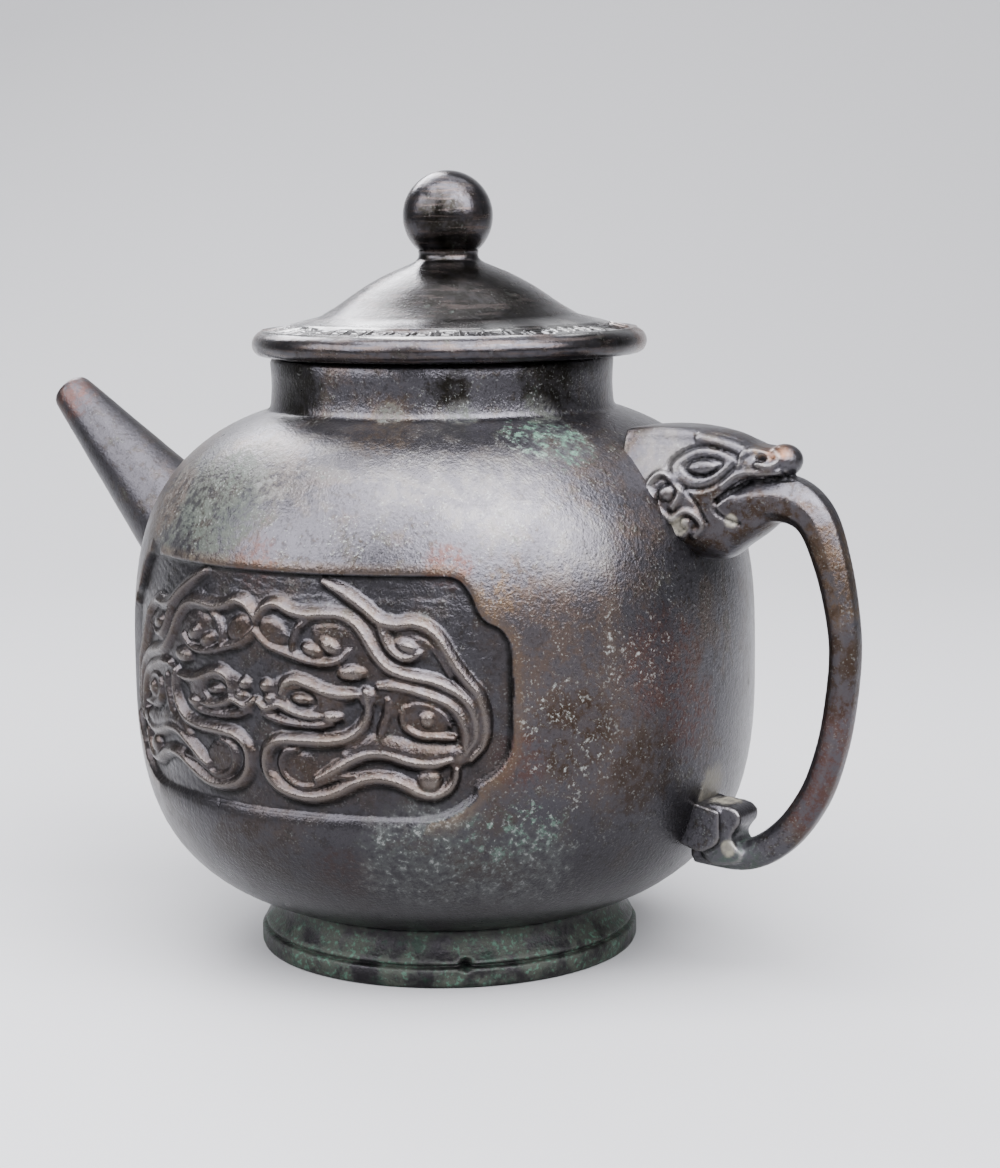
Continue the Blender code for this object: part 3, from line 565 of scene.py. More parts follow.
def makeSpout():
    tip, flare, length, soft = spout["tipRadius"], spout["flare"], spout["length"], spout["round"]
    outline = [(tip - 0.95 * soft, -0.02), (tip - 0.45 * soft, -0.15 * soft), (tip - 0.12 * soft, -0.5 * soft),
               (tip + soft * flare, -1.15 * soft)]
    rows = 40
    outline += [(tip + flare * length * i / rows, -length * i / rows) for i in range(2, rows + 1)]
    bore = spout["boreTip"]
    outline += [(bore + spout["boreBase"] * length, -length), (bore + 0.5 * spout["boreBase"] * length, -0.5 * length),
                (bore, -1.0), (bore + 0.25, -0.15)]
    piece = turnedPiece("ewerSpout", outline, spout["steps"], closed=True)
    points = pointsOf(piece)
    wobble = 1 - 0.012 * waviness(points / mm, 11.0, 8)
    points[:, :2] *= wobble[:, None]
    setPoints(piece, points)
    aimSpout(piece)
    cutBy(piece, bowlTool(-spout["sink"], "spoutSeat"))
    smoothed(piece, 40)
    return piece


# Handle with the beast's head. Head sections: distance from the axis, then points (half width, height)
# from the crown's middle down one side to the bottom's middle.

skullSections = [
    (41.2, [(0, 95.0), (4.6, 95.0), (6.0, 94.0), (7.1, 90.8), (8.5, 87.0), (9.3, 82.4), (7.4, 79.6), (0, 79.2)]),
    (47.0, [(0, 95.5), (4.4, 95.4), (5.7, 94.4), (6.9, 91.0), (8.3, 87.0), (9.1, 82.4), (7.2, 79.6), (0, 79.2)]),
    (52.0, [(0, 95.5), (4.0, 95.3), (5.3, 94.2), (6.3, 91.0), (7.5, 87.2), (8.1, 82.6), (6.6, 79.8), (0, 79.4)]),
    (56.5, [(0, 95.15), (3.2, 94.8), (4.7, 93.5), (5.7, 90.6), (6.5, 87.4), (6.8, 83.6), (5.6, 81.0), (0, 80.6)]),
    (60.0, [(0, 94.4), (2.6, 94.1), (4.2, 92.8), (5.1, 90.6), (5.7, 88.2), (5.7, 85.8), (4.6, 84.4), (0, 84.0)]),
    (63.2, [(0, 93.1), (2.4, 92.9), (3.9, 92.0), (4.8, 90.5), (5.1, 89.0), (4.9, 87.8), (4.0, 87.0), (0, 86.6)]),
    (66.6, [(0, 92.3), (2.2, 92.2), (3.6, 91.5), (4.4, 90.3), (4.6, 89.2), (4.4, 88.2), (3.6, 87.4), (0, 87.0)]),
    (69.0, [(0, 91.6), (1.7, 91.4), (2.7, 90.9), (3.3, 90.0), (3.4, 89.2), (3.2, 88.5), (2.5, 87.9), (0, 87.6)]),
]

jawSections = [
    (41.2, [(0, 84.0), (7.0, 84.0), (9.0, 82.2), (8.6, 80.0), (7.2, 77.6), (4.4, 75.4), (2.4, 74.3), (0, 74.0)]),
    (48.0, [(0, 84.0), (6.8, 84.0), (8.7, 82.0), (8.4, 79.6), (7.0, 77.2), (4.2, 74.9), (2.2, 73.9), (0, 73.6)]),
    (53.0, [(0, 85.0), (6.2, 85.0), (7.7, 82.4), (7.6, 79.8), (6.6, 77.0), (4.0, 74.5), (2.0, 73.5), (0, 73.3)]),
    (58.0, [(0, 85.5), (5.2, 85.5), (6.3, 83.0), (6.1, 80.0), (5.5, 77.2), (3.5, 74.5), (1.8, 73.6), (0, 73.4)]),
    (61.6, [(0, 84.8), (4.4, 84.8), (5.2, 82.6), (5.0, 80.2), (4.6, 78.2), (3.0, 76.5), (1.5, 75.9), (0, 75.8)]),
    (65.0, [(0, 84.0), (3.9, 84.0), (4.6, 82.6), (4.4, 81.0), (3.9, 79.6), (2.5, 78.6), (1.2, 78.2), (0, 78.1)]),
    (68.0, [(0, 84.0), (3.0, 84.0), (3.6, 83.2), (3.3, 82.2), (2.7, 81.4), (1.7, 81.0), (0.9, 80.8), (0, 80.7)]),
]

# Bar: distance from the axis, height, half thickness, half width
barPath = [
    (54.0, 80.6, 3.9, 6.2), (58.5, 82.0, 4.2, 5.5), (64.0, 83.6, 4.3, 4.9), (69.6, 83.75, 3.95, 4.4),
    (74.1, 80.7, 3.36, 3.75), (77.0, 73.6, 2.95, 3.3), (78.75, 66.0, 2.72, 3.0), (79.4, 59.0, 2.6, 2.85),
    (78.65, 50.5, 2.6, 2.85), (77.05, 42.5, 2.6, 2.85), (74.0, 34.5, 2.68, 2.9), (68.5, 27.2, 2.75, 2.9),
    (61.6, 23.15, 2.65, 2.9), (52.0, 23.0, 2.5, 2.8),
]
# Half of the bar's section: outwards, across; a bevel runs along each outer edge
barSection = [
    (1.0, 0.0), (0.98, 0.38), (0.80, 0.60), (0.30, 0.98), (0.0, 1.0), (-0.45, 0.95), (-0.85, 0.62), (-1.0, 0.0),
]

# Block at the lower end, side on, and the scroll on its outer face, with their half widths
blockOutline = [
    (49.0, 32.1), (53.0, 31.9), (56.0, 31.4), (58.2, 30.9), (58.4, 30.2), (58.4, 28.0), (58.4, 26.2), (57.4, 24.8),
    (54.8, 23.6), (52.0, 24.2), (49.0, 25.6),
]
scrollOutline = [
    (55.0, 31.0), (58.5, 31.7), (60.6, 31.4), (61.8, 30.3), (61.7, 28.9), (60.7, 27.6), (60.2, 26.6), (60.4, 25.6),
    (61.4, 24.5), (62.4, 23.6), (61.0, 22.0), (55.0, 22.0),
]

handle = dict(
    blockHalf=4.65, scrollHalf=3.5, voxel=0.32, sink=0.3, snout=(68.1, 90.3, 3.05, 2.75, 3.4),
    edgeSharpness=2.2,
)

# Lines carved on the side of the head: width, height over the face, closed, and points as distance
# from the axis and height
headLines = [
    # almond rim of the eye, sunk, with the lid raised inside it
    (1.0, -0.42, True, [(50.4, 89.4), (52.2, 91.3), (55.0, 92.5), (58.4, 92.3), (62.0, 90.6), (60.2, 88.0),
                        (57.6, 86.0), (54.2, 85.6), (51.4, 87.2)]),
    (1.5, 0.14, True, [(51.7, 89.3), (53.4, 90.9), (55.8, 91.7), (58.4, 91.5), (60.9, 90.4), (59.2, 88.3),
                       (57.0, 86.9), (54.6, 86.6), (52.6, 87.6)]),
    (0.8, -0.40, True, [(53.0, 89.2), (54.6, 90.3), (57.0, 90.7), (59.4, 90.0), (58.0, 88.4), (56.0, 87.7),
                        (54.2, 88.0)]),
    # brow, and the ledge along the crown
    (1.8, 0.45, False, [(54.8, 94.0), (57.4, 93.5), (60.2, 92.9), (62.4, 92.3)]),
    (1.8, -0.18, False, [(42.0, 93.2), (48.0, 93.4), (53.6, 93.3)]),
    # nostril curl
    (1.3, 0.5, False, [(62.0, 89.6), (62.6, 91.2), (64.6, 92.2), (67.2, 92.0), (68.6, 90.8), (67.4, 89.6),
                       (65.4, 89.9)]),
    # lip, with the crease under it
    (1.3, 0.35, False, [(59.6, 86.2), (62.4, 88.2), (66.0, 88.5), (69.4, 88.7)]),
    (1.1, -0.65, False, [(58.6, 83.6), (60.6, 85.2), (63.4, 86.9), (67.6, 87.5), (70.6, 87.7)]),
    # cheek curl
    (1.5, 0.65, False, [(48.0, 83.8), (47.3, 86.0), (49.0, 87.9), (51.6, 87.0), (52.8, 84.8), (51.6, 82.4)]),
    (0.9, -0.5, False, [(49.2, 83.6), (49.2, 85.4), (50.6, 86.2)]),
    # beard curls
    (1.5, 0.6, False, [(49.4, 81.8), (51.2, 80.4), (53.4, 81.8), (55.2, 81.2), (56.2, 79.4), (54.8, 77.8)]),
    (1.2, 0.45, False, [(50.8, 78.8), (52.6, 77.6), (54.2, 78.8)]),
    # crease behind the cheek, and the mouth's corner
    (0.8, -0.35, False, [(53.6, 85.4), (55.6, 83.0), (57.0, 80.0)]),
    (0.9, -0.4, False, [(58.6, 83.8), (58.4, 82.2), (60.0, 80.8), (62.2, 79.9)]),
]
headBalls = [(56.1, 89.15, 4.8, 2.2, 0.7, 4), (50.4, 84.8, 2.8, 2.8, 0.8, 0), (53.8, 79.8, 1.8, 1.8, 0.45, 0)]
nostrilHole = (65.9, 90.9, 2.0, 1.3, -1.2, 0)


def sectionRings(sections, rowsPerSpan, perSpan):
    rings = []
    for station, side in sections:
        right = [(station, -wide, height) for wide, height in side]
        left = [(station, wide, height) for wide, height in side[-2:0:-1]]
        rings.append(smoothCurve(right + left, perSpan, closed=True))
    rings = np.array(rings)
    flat = smoothCurve(rings.reshape(len(rings), -1), rowsPerSpan)
    return flat.reshape(len(flat), *rings.shape[1:])


def makeBar():
    path = smoothCurve(barPath, 8)
    ahead = np.gradient(path[:, :2], axis=0)
    ahead /= np.linalg.norm(ahead, axis=1)[:, None]
    half = np.array(barSection)
    side = []
    for start, end in zip(half, half[1:]):
        side += [start, 0.5 * (start + end)]
    side = np.array(side + [half[-1]])
    section = np.vstack([side, side[-2:0:-1] * (1, -1)])
    rings = []
    for (x, z, thick, wide), (ax, az) in zip(path, ahead):
        rings.append([(x + az * thick * out * -1, wide * across, z + ax * thick * out) for out, across in section])
    return loftedPiece("handleBar", rings)


def makeSlab(name, outline, halfWidth):
    deselectAll()
    outline = smoothCurve(outline, 4, closed=True)
    bpy.ops.mesh.primitive_circle_add(vertices=len(outline), radius=mm, fill_type="NGON")
    piece = named(name)
    bm = editPiece(piece)
    bm.verts.ensure_lookup_table()
    for vert, (x, z) in zip(bm.verts, outline):
        vert.co = (axisX + x * mm, -halfWidth * mm, z * mm)
    bmesh.update_edit_mesh(piece.data)
    bpy.ops.mesh.select_all(action="SELECT")
    bpy.ops.mesh.extrude_region_move(TRANSFORM_OT_translate={"value": (0, 2 * halfWidth * mm, 0)})
    bpy.ops.mesh.select_all(action="SELECT")
    bpy.ops.mesh.normals_make_consistent(inside=False)
    bpy.ops.object.mode_set(mode="OBJECT")
    return piece


def makeSnout():
    x, z, deep, tall, wide = handle["snout"]
    deselectAll()
    spot = (axisX + x * mm, 0, z * mm)
    bpy.ops.mesh.primitive_uv_sphere_add(segments=32, ring_count=20, radius=tall * mm, location=spot)
    piece = named("handleSnout")
    editPiece(piece)
    bpy.ops.mesh.select_all(action="SELECT")
    bpy.ops.transform.resize(value=(deep / tall, wide / tall, 1))
    bpy.ops.object.mode_set(mode="OBJECT")
    bpy.ops.object.transform_apply(location=True)
    return piece


def carveHead(piece):
    points = pointsOf(piece)
    normals = np.empty(3 * len(points))
    piece.data.vertices.foreach_get("normal", normals)
    normals = normals.reshape(-1, 3)
    x = points[:, 0] / mm - axisX / mm
    z = points[:, 2] / mm
    side = np.stack([x, z], axis=1)
    onHead = (x > 42) & (x < 71.5) & (z > 75) & ~((x > 63) & (z < 86))
    facing = eased((np.abs(normals[:, 1]) - 0.25) / 0.45) * onHead
    raised = np.zeros(len(points))
    for width, high, closed, line in headLines:
        curve = smoothCurve(line, 6, closed)
        if closed:
            curve = np.vstack([curve, curve[:1]])
        away, _ = distanceTo(curve, side, width)
        raised += high * ridge(away, 0.5 * width)
    for x0, z0, wide, tall, high, turn in headBalls + [nostrilHole]:
        raised += high * dropHeight(side, np.array((x0, z0)), wide, tall, turn)
    points += normals * (raised * facing * mm)[:, None]
    setPoints(piece, points)


def makeHandle():
    parts = [
        loftedPiece("handleSkull", sectionRings(skullSections, 6, 5)),
        loftedPiece("handleJaw", sectionRings(jawSections, 6, 5)),
        makeBar(),
        makeSnout(),
        makeSlab("handleBlock", blockOutline, handle["blockHalf"]),
        makeSlab("handleScroll", scrollOutline, handle["scrollHalf"]),
    ]
    deselectAll()
    for part in parts:
        part.select_set(True)
    bpy.context.view_layer.objects.active = parts[0]
    bpy.ops.object.join()
    piece = named("ewerHandle")
    remesh = piece.modifiers.new("remesh", "REMESH")
    remesh.mode = "VOXEL"
    remesh.voxel_size = handle["voxel"] * mm
    soften = piece.modifiers.new("soften", "SMOOTH")
    soften.factor = 0.5
    soften.iterations = 4
    applyAll(piece)
    carveHead(piece)
    cutBy(piece, bowlTool(-handle["sink"], "handleSeat"))
    smoothed(piece, 50)
    storeEdges(piece, handle["edgeSharpness"])
    return piece


# Lid

lid = dict(
    radius=35.05, edge=4.4, under=106.4, flangeOut=111.15, flangeIn=112.7, domeRadius=24.0, domeHeight=9.6,
    collarRadius=5.5, collarHeight=2.2, knobRadius=7.98, spigotRadius=26.0, spigotLength=6.5, wall=2.5,
    steps=160, bandIn=27.9, bandOut=32.6, bandDepth=0.5, bandRows=4, bandCuts=4, keys=48,
)

domeShares = [(0.27, 1.0), (0.46, 0.80), (0.61, 0.60), (0.72, 0.42), (0.83, 0.23), (0.96, 0.04)]

# One key of the worn fret: strokes inside a unit square, across and outward
keyStrokes = [
    [(0.06, 0.10), (0.06, 0.90), (0.84, 0.90), (0.84, 0.30), (0.36, 0.30), (0.36, 0.62), (0.60, 0.62)],
    [(0.04, 0.08), (0.98, 0.08)],
]


def lidOutline():
    top = lid["flangeIn"]
    dome = smoothCurve([(lid["domeRadius"] * r, top + lid["domeHeight"] * h) for r, h in domeShares], 5)
    collarBase = dome[0][1]
    ballFoot = math.sqrt(lid["knobRadius"] ** 2 - (0.95 * lid["collarRadius"]) ** 2)
    centre = collarBase + lid["collarHeight"] + ballFoot
    last = math.asin(ballFoot / lid["knobRadius"])
    points = [(0.0, centre + lid["knobRadius"])]
    for i in range(1, 25):
        angle = math.pi / 2 - (math.pi / 2 + last) * i / 24
        points.append((lid["knobRadius"] * math.cos(angle), centre + lid["knobRadius"] * math.sin(angle)))
    collar = lid["collarRadius"]
    points += [(collar - 0.1, collarBase + 2.1), (collar - 0.25, collarBase + 1.6), (collar - 0.15, collarBase + 1.0),
               (collar + 0.25, collarBase + 0.45)]
    points += [tuple(point) for point in dome]
    slope = (lid["flangeIn"] - lid["flangeOut"]) / (lid["radius"] - 3.0 - lid["domeRadius"])
    for row in range(lid["bandRows"] + 3):
        radius = lid["bandIn"] - 0.7 + (lid["bandOut"] - lid["bandIn"] + 1.4) * row / (lid["bandRows"] + 2)
        points.append((radius, top - slope * (radius - lid["domeRadius"])))
    half = 0.5 * lid["edge"]
    for i in range(13):
        angle = math.pi * (0.42 - 0.92 * i / 12)
        points.append((lid["radius"] - half + half * math.cos(angle), lid["under"] + half + half * math.sin(angle)))
    spigot = lid["spigotRadius"]
    points += [(spigot + 0.4, lid["under"]), (spigot, lid["under"] - 0.4), (spigot, lid["under"] - lid["spigotLength"]),
               (spigot - 2.0, lid["under"] - lid["spigotLength"]), (spigot - 2.0, lid["under"] + 2.2)]
    points += [(r - 0.75, z - lid["wall"]) for r, z in dome[::-5][:-1]]
    points.append((0.0, collarBase - lid["wall"] + 0.1))
    return points


def makeLid():
    piece = turnedPiece("ewerLid", lidOutline(), lid["steps"], centre=(lidX, lidY))
    bm = editPiece(piece)
    bpy.ops.mesh.select_all(action="DESELECT")
    for face in bm.faces:
        spot = face.calc_center_median()
        radius = math.hypot(spot.x - lidX, spot.y - lidY) / mm
        face.select = lid["bandIn"] - 0.9 < radius < lid["bandOut"] + 0.9 and face.normal.z > 0.5
    bm.select_flush_mode()
    bmesh.update_edit_mesh(piece.data)
    bpy.ops.mesh.subdivide(number_cuts=lid["bandCuts"])
    bpy.ops.object.mode_set(mode="OBJECT")

    points = pointsOf(piece)
    x = points[:, 0] / mm - lidX / mm
    y = points[:, 1] / mm - lidY / mm
    radius = np.hypot(x, y)
    band = (radius > lid["bandIn"] - 0.8) & (radius < lid["bandOut"] + 0.8) & (points[:, 2] > lid["under"] * mm + 2.5 * mm)
    turns = (np.arctan2(y, x) / (2 * math.pi) + 0.5) * lid["keys"]
    width = lid["bandOut"] - lid["bandIn"]
    cell = np.stack([turns % 1, (radius - lid["bandIn"]) / width], axis=1)
    raised = np.zeros(len(points))
    for stroke in keyStrokes:
        away, _ = distanceTo(np.array(stroke), cell, 0.3)
        raised = np.maximum(raised, eased(1.4 - away / 0.075))
    edgeLine = np.abs(cell[:, 1] - 0.5) - 0.5
    raised = np.where(edgeLine > -0.02, 1, raised)
    wear = eased(1.5 * waviness(points / mm, 15.0, 11) - 0.15)
    sink = lid["bandDepth"] * (1 - raised * (0.35 + 0.65 * wear))
    sink = np.where(edgeLine > 0, lid["bandDepth"] * 0.4 * eased(1 - edgeLine * width / 0.6), sink)
    points[:, 2] -= np.where(band, sink * mm, 0)
    rim = radius > lid["bandOut"] + 0.8
    dents = 0.16 * waviness(points / mm, 9.0, 12) + 0.10 * waviness(points / mm, 4.0, 13)
    points[:, 2] -= np.where(rim & (points[:, 2] > lid["under"] * mm), dents, 0) * mm
    setPoints(piece, points)
    # the fret's sunk ground, which the finish darkens as painted shade
    storeMask(piece, "fret", np.where(band, 1 - raised, 0))
    storeMask(piece, "fretTop", np.where(band, raised * wear, 0))
    smoothed(piece, 42)
    return piece


# Finishes

class Value:
    # a socket that takes part in ordinary sums
    def __init__(self, board, socket):
        self.board = board
        self.socket = socket

    def sum(self, operation, *others):
        return self.board.node("ShaderNodeMath", {"operation": operation}, [self, *others])

    def __add__(self, other):
        return self.sum("ADD", other)

    def __radd__(self, other):
        return self.sum("ADD", other)

    def __sub__(self, other):
        return self.sum("SUBTRACT", other)

    def __rsub__(self, other):
        return self.board.node("ShaderNodeMath", {"operation": "SUBTRACT"}, [other, self])

    def __mul__(self, other):
        return self.sum("MULTIPLY", other)

    def __rmul__(self, other):
        return self.sum("MULTIPLY", other)

    def __pow__(self, other):
        return self.sum("POWER", other)

    def atLeast(self, other):
        return self.sum("MAXIMUM", other)

    def atMost(self, other):
        return self.sum("MINIMUM", other)

    def over(self, low, high):
        # 0 below low, 1 above high, eased between
        settings = {"interpolation_type": "SMOOTHSTEP"}
        return self.board.node("ShaderNodeMapRange", settings, {"Value": self, "From Min": low, "From Max": high})


class Board:
    # the node tree of one finish
    def __init__(self, name):
        self.material = bpy.data.materials.new(name)
        self.material.use_nodes = True
        self.tree = self.material.node_tree
        self.shader = self.tree.nodes["Principled BSDF"]
        self.place = self.node("ShaderNodeTexCoord", {}, {}, "Object")

    def node(self, kind, settings, inputs, output=0):
        made = self.tree.nodes.new(kind)
        for key, value in settings.items():
            setattr(made, key, value)
        pairs = enumerate(inputs) if isinstance(inputs, list) else inputs.items()
        for key, value in pairs:
            if isinstance(value, Value):
                self.tree.links.new(value.socket, made.inputs[key])
            else:
                made.inputs[key].default_value = value
        return Value(self, made.outputs[output])

    def noise(self, size, detail=3.0, roughness=0.5, shift=0.0, output=0):
        place = self.place
        if shift:
            place = self.node("ShaderNodeVectorMath", {"operation": "ADD"}, [self.place, (shift, 0.6 * shift, -shift)])
        inputs = {"Vector": place, "Scale": 1 / (size * mm), "Detail": detail, "Roughness": roughness}
        return self.node("ShaderNodeTexNoise", {}, inputs, output)

    def blend(self, factor, first, second, mode="MIX"):
        settings = {"data_type": "RGBA", "blend_type": mode}
        return self.node("ShaderNodeMix", settings, {0: factor, 6: first, 7: second}, 2)

    def mask(self, name):
        return self.node("ShaderNodeAttribute", {"attribute_name": name}, {}, 2)

    def height(self):
        return self.node("ShaderNodeSeparateXYZ", {}, [self.place], 2)

    def near(self, spots, ragged, soft=0.45):
        # 1 at the middle of any spot, ragged towards its reach
        total = None
        for x, y, z, reach in spots:
            spot = ((x * mm, y * mm, z * mm))
            away = self.node("ShaderNodeVectorMath", {"operation": "DISTANCE"}, [self.place, spot], 1)
            one = (1 - away * (1 / (reach * mm)) + (ragged - 0.5) * 1.3).over(0.0, soft)
            total = one if total is None else total.atLeast(one)
        return total

    def join(self, value, name):
        self.tree.links.new(value.socket, self.shader.inputs[name])


def colour(red, green, blue):
    return (red, green, blue, 1.0)


bronze = dict(
    dark=colour(0.046, 0.044, 0.049), brown=colour(0.054, 0.040, 0.034), ochre=colour(0.078, 0.052, 0.032),
    red=colour(0.052, 0.026, 0.022), green=colour(0.014, 0.024, 0.018), verdigris=colour(0.036, 0.078, 0.054),
    olive=colour(0.040, 0.040, 0.031), pale=colour(0.15, 0.16, 0.15), cream=colour(0.15, 0.138, 0.105),
    moss=colour(0.024, 0.028, 0.021), dull=colour(0.007, 0.006, 0.0045),
    rust=colour(0.085, 0.040, 0.022), umber=colour(0.024, 0.015, 0.010), grimeAndShade=colour(0.014, 0.013, 0.014), sootAndShade=colour(0.003, 0.003, 0.003),
    worn=colour(0.095, 0.090, 0.088), bright=colour(0.30, 0.30, 0.29),
)

# Places of the patina on the bowl, in the row's frame: x, y, z and reach; the pale places gather flecks that are partly
# white deposits and partly painted glints
bowlSpots = dict(
    dull=[(30.0, -8.0, 103.0, 9), (-6.0, -27.0, 101.0, 9), (22.0, -22.0, 102.0, 5)],
    verdigris=[(38.4, -18.6, 93.8, 9), (-7.0, -44.0, 89.5, 5), (46.5, -35.5, 33.0, 6), (41.0, -39.0, 30.5, 6)],
    green=[(32.9, -45.5, 26.0, 15), (44.0, -36.0, 24.0, 12), (-8.5, -45.0, 84.0, 12), (40.0, -17.0, 95.0, 8)],
    moss=[(-6.0, -46.0, 84.0, 14), (-19.0, -42.0, 83.0, 13), (24.0, -22.0, 97.0, 4), (33.0, -12.0, 97.0, 4.5), (14.0, -28.0, 97.0, 3.5), (-20.0, -18.0, 97.0, 4)],
    red=[(18.8, -49.8, 24.0, 7), (58.8, -14.5, 58.0, 11), (60.0, -8.5, 48.0, 9), (45.6, -37.9, 44.0, 6),
         (3.8, -53.7, 75.5, 6), (36.0, -44.0, 75.5, 5)],
    ochre=[(-8.6, -43.2, 90.0, 11), (16.0, -33.0, 95.0, 8), (41.0, -38.0, 70.0, 5), (-30.0, -33.0, 86.0, 13),
           (-37.0, -26.0, 83.0, 12), (3.0, -42.0, 86.0, 8)],
    pale=[(49.6, -33.6, 51.7, 8), (51.4, -30.8, 43.5, 11), (44.4, -36.6, 29.0, 12), (32.9, -45.5, 26.0, 14),
          (46.0, -31.0, 20.0, 9), (56.0, -20.0, 60.0, 10)],
    cream=[(59.6, 0.5, 33.2, 5.5)],
    umber=[(-24.0, -41.0, 83.0, 9), (0.0, -50.0, 25.0, 12), (-22.0, -43.0, 26.0, 13), (50.0, -30.0, 48.0, 9), (56.0, -18.0, 40.0, 9)],
    worn=[(8.0, -38.0, 88.0, 15), (22.0, -34.0, 88.0, 15), (35.0, -30.0, 84.0, 14), (46.0, -25.0, 76.0, 10)],
    brown=[(52.0, -32.0, 60.0, 17), (56.0, -24.0, 46.0, 15), (46.0, -38.0, 66.0, 9), (-30.0, -42.0, 30.0, 14)],
)


def bronzeFinish(name, spots, roughness, grain, pitting, masks=(), footTop=None, streaks=0.0, depth=0.0, dustAndGlints=0.15):
    # patinated bronze: blotched base, places of coloured patina, pale flecks that are partly painted glints, and a cast
    # grain; some masks and footTop add painted shade
    board = Board(name)
    broad = board.noise(22, 5, 0.65)
    middle = board.noise(5.5, 5, 0.65, 0.31)
    small = board.noise(1.9, 4, 0.65, 0.17)
    fine = board.noise(0.8, 3, 0.6, 0.53)
    ragged = board.noise(7, 8, 0.78, 0.71)
    mottle = 0.45 * broad + 0.35 * middle + 0.2 * small
    tone = board.blend(mottle.over(0.48, 0.60), bronze["dark"], bronze["brown"])
    tone = board.blend(0.6 * (0.5 * middle + 0.5 * small).over(0.52, 0.66), tone, bronze["olive"])
    tone = board.blend(0.45 * small.over(0.56, 0.66) * fine.over(0.44, 0.6), tone, bronze["ochre"])
    tone = board.blend(0.65 * (0.5 * small + 0.5 * fine).over(0.49, 0.60), tone, bronze["grimeAndShade"])
    if depth:
        tone = board.blend(depth, tone, bronze["grimeAndShade"])
    rubbed = None
    if streaks:
        # marks of turning and rubbing run round the piece
        stretched = board.node("ShaderNodeVectorMath", {"operation": "MULTIPLY"}, [board.place, (1.0, 1.0, 9.0)])
        rubbed = board.node("ShaderNodeTexNoise", {}, {"Vector": stretched, "Scale": 170.0, "Detail": 5.0})
        tone = board.blend(0.6 * rubbed.over(0.48, 0.62), tone, bronze["brown"])
    crust = None
    for key, strength in (("brown", 0.9), ("ochre", 0.7), ("red", 0.75), ("green", 0.8), ("verdigris", 0.9), ("moss", 0.95),
                          ("umber", 0.9), ("rust", 0.85), ("worn", 0.6), ("dull", 1.0),
                          ("cream", 0.85)):
        if spots.get(key):
            near = board.near(spots[key], 0.55 * ragged + 0.3 * small + 0.15 * fine)
            cover = strength * near * (0.15 + 0.85 * (0.6 * small + 0.4 * fine).over(0.42, 0.58))
            if key == "verdigris":
                cover = cover * small.over(0.52, 0.62)
            if key in ("brown", "cream", "dull", "umber", "rust", "worn"):
                cover = strength * near * (0.7 + 0.3 * small.over(0.40, 0.6))
                if key in ("brown", "umber", "worn"):
                    cover = cover * (0.35 + 0.65 * (0.6 * middle + 0.4 * small).over(0.44, 0.56))
                if key == "dull" and streaks:
                    cover = cover * (1 - 0.45 * rubbed.over(0.54, 0.64))
            tone = board.blend(cover, tone, bronze[key])
            if key not in ("brown", "ochre", "red", "rust", "dull", "umber", "worn"):
                cover = cover * 0.8
                crust = cover if crust is None else crust.atLeast(cover)
    stray = 0.5 * middle.over(0.60, 0.72) * small.over(0.50, 0.62)
    tone = board.blend(stray, tone, bronze["green"])
    crust = stray if crust is None else crust.atLeast(stray)
    grit = board.noise(0.42, 2, 0.5, 0.83)
    # pale flecks: partly white deposits, partly painted glints where the bowl catches light
    flecksAndGlints = (fine.over(0.66, 0.72) * (0.12 + middle.over(0.45, 0.75) * 0.3)).atLeast(
        dustAndGlints * grit.over(0.60, 0.68) * (0.35 * small + 0.65 * middle).over(0.42, 0.58))
    if spots.get("pale"):
        near = board.near(spots["pale"], ragged)
        flecksAndGlints = flecksAndGlints.atLeast(0.8 * (0.6 * fine + 0.4 * small).over(0.545, 0.62) * near * (0.4 + 0.6 * grit.over(0.45, 0.55)))
    tone = board.blend(flecksAndGlints, tone, bronze["pale"])
    pits = fine.over(0.41, 0.34) * pitting
    tone = board.blend(pits, tone, bronze["sootAndShade"])
    rough = roughness + 0.16 * (middle - 0.5) + 0.12 * (small - 0.5) + 0.1 * (broad - 0.5)
    if streaks:
        rough = rough + streaks * (rubbed - 0.5)
    if footTop:
        # painted shade: the underside is darker than the shoulder; the foot is duller and greener than the bowl
        tone = board.blend(0.92 * (1 - board.height().over(12 * mm, 56 * mm)), tone, bronze["grimeAndShade"])
        low = 1 - board.height().over(footTop * mm, (footTop + 1.5) * mm)
        tone = board.blend(low * middle.over(0.38, 0.60), tone, bronze["moss"])
        tone = board.blend(low * (0.5 * small + 0.5 * ragged).over(0.52, 0.62), tone, bronze["green"])
        specks = low * fine.over(0.52, 0.64) * middle.over(0.42, 0.58)
        tone = board.blend(0.9 * specks, tone, bronze["verdigris"])
        rough = rough + 0.14 * low
        crust = crust.atLeast(0.45 * low * middle.over(0.36, 0.6))
    for key, tint, cover, change in masks:
        share = board.mask(key) * cover * (0.7 + 0.3 * small.over(0.3, 0.6))
        tone = board.blend(share, tone, bronze[tint])
        rough = rough + share * change
    rough = (rough + 0.35 * crust + 0.15 * flecksAndGlints).atLeast(0.16).atMost(0.9)
    board.join(tone, "Base Color")
    board.join(rough, "Roughness")
    board.join((0.94 - 0.75 * crust - 0.5 * flecksAndGlints).atLeast(0.0), "Metallic")
    bump = 0.10 * small + 0.34 * fine + 0.22 * middle + 0.22 * grit
    normal = board.node("ShaderNodeBump", {}, {"Strength": grain, "Distance": 0.35 * mm, "Height": bump})
    board.join(normal, "Normal")
    return board.material


def dress(piece, node, material):
    piece.data.materials.clear()
    piece.data.materials.append(material)
    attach(piece, "root")
    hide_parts(node)


# Camera, floor and light

camera = dict(turn=33.5, across=9.9, back=446.0, height=131.0, dip=8.45, roll=-0.62, lens=77.05)

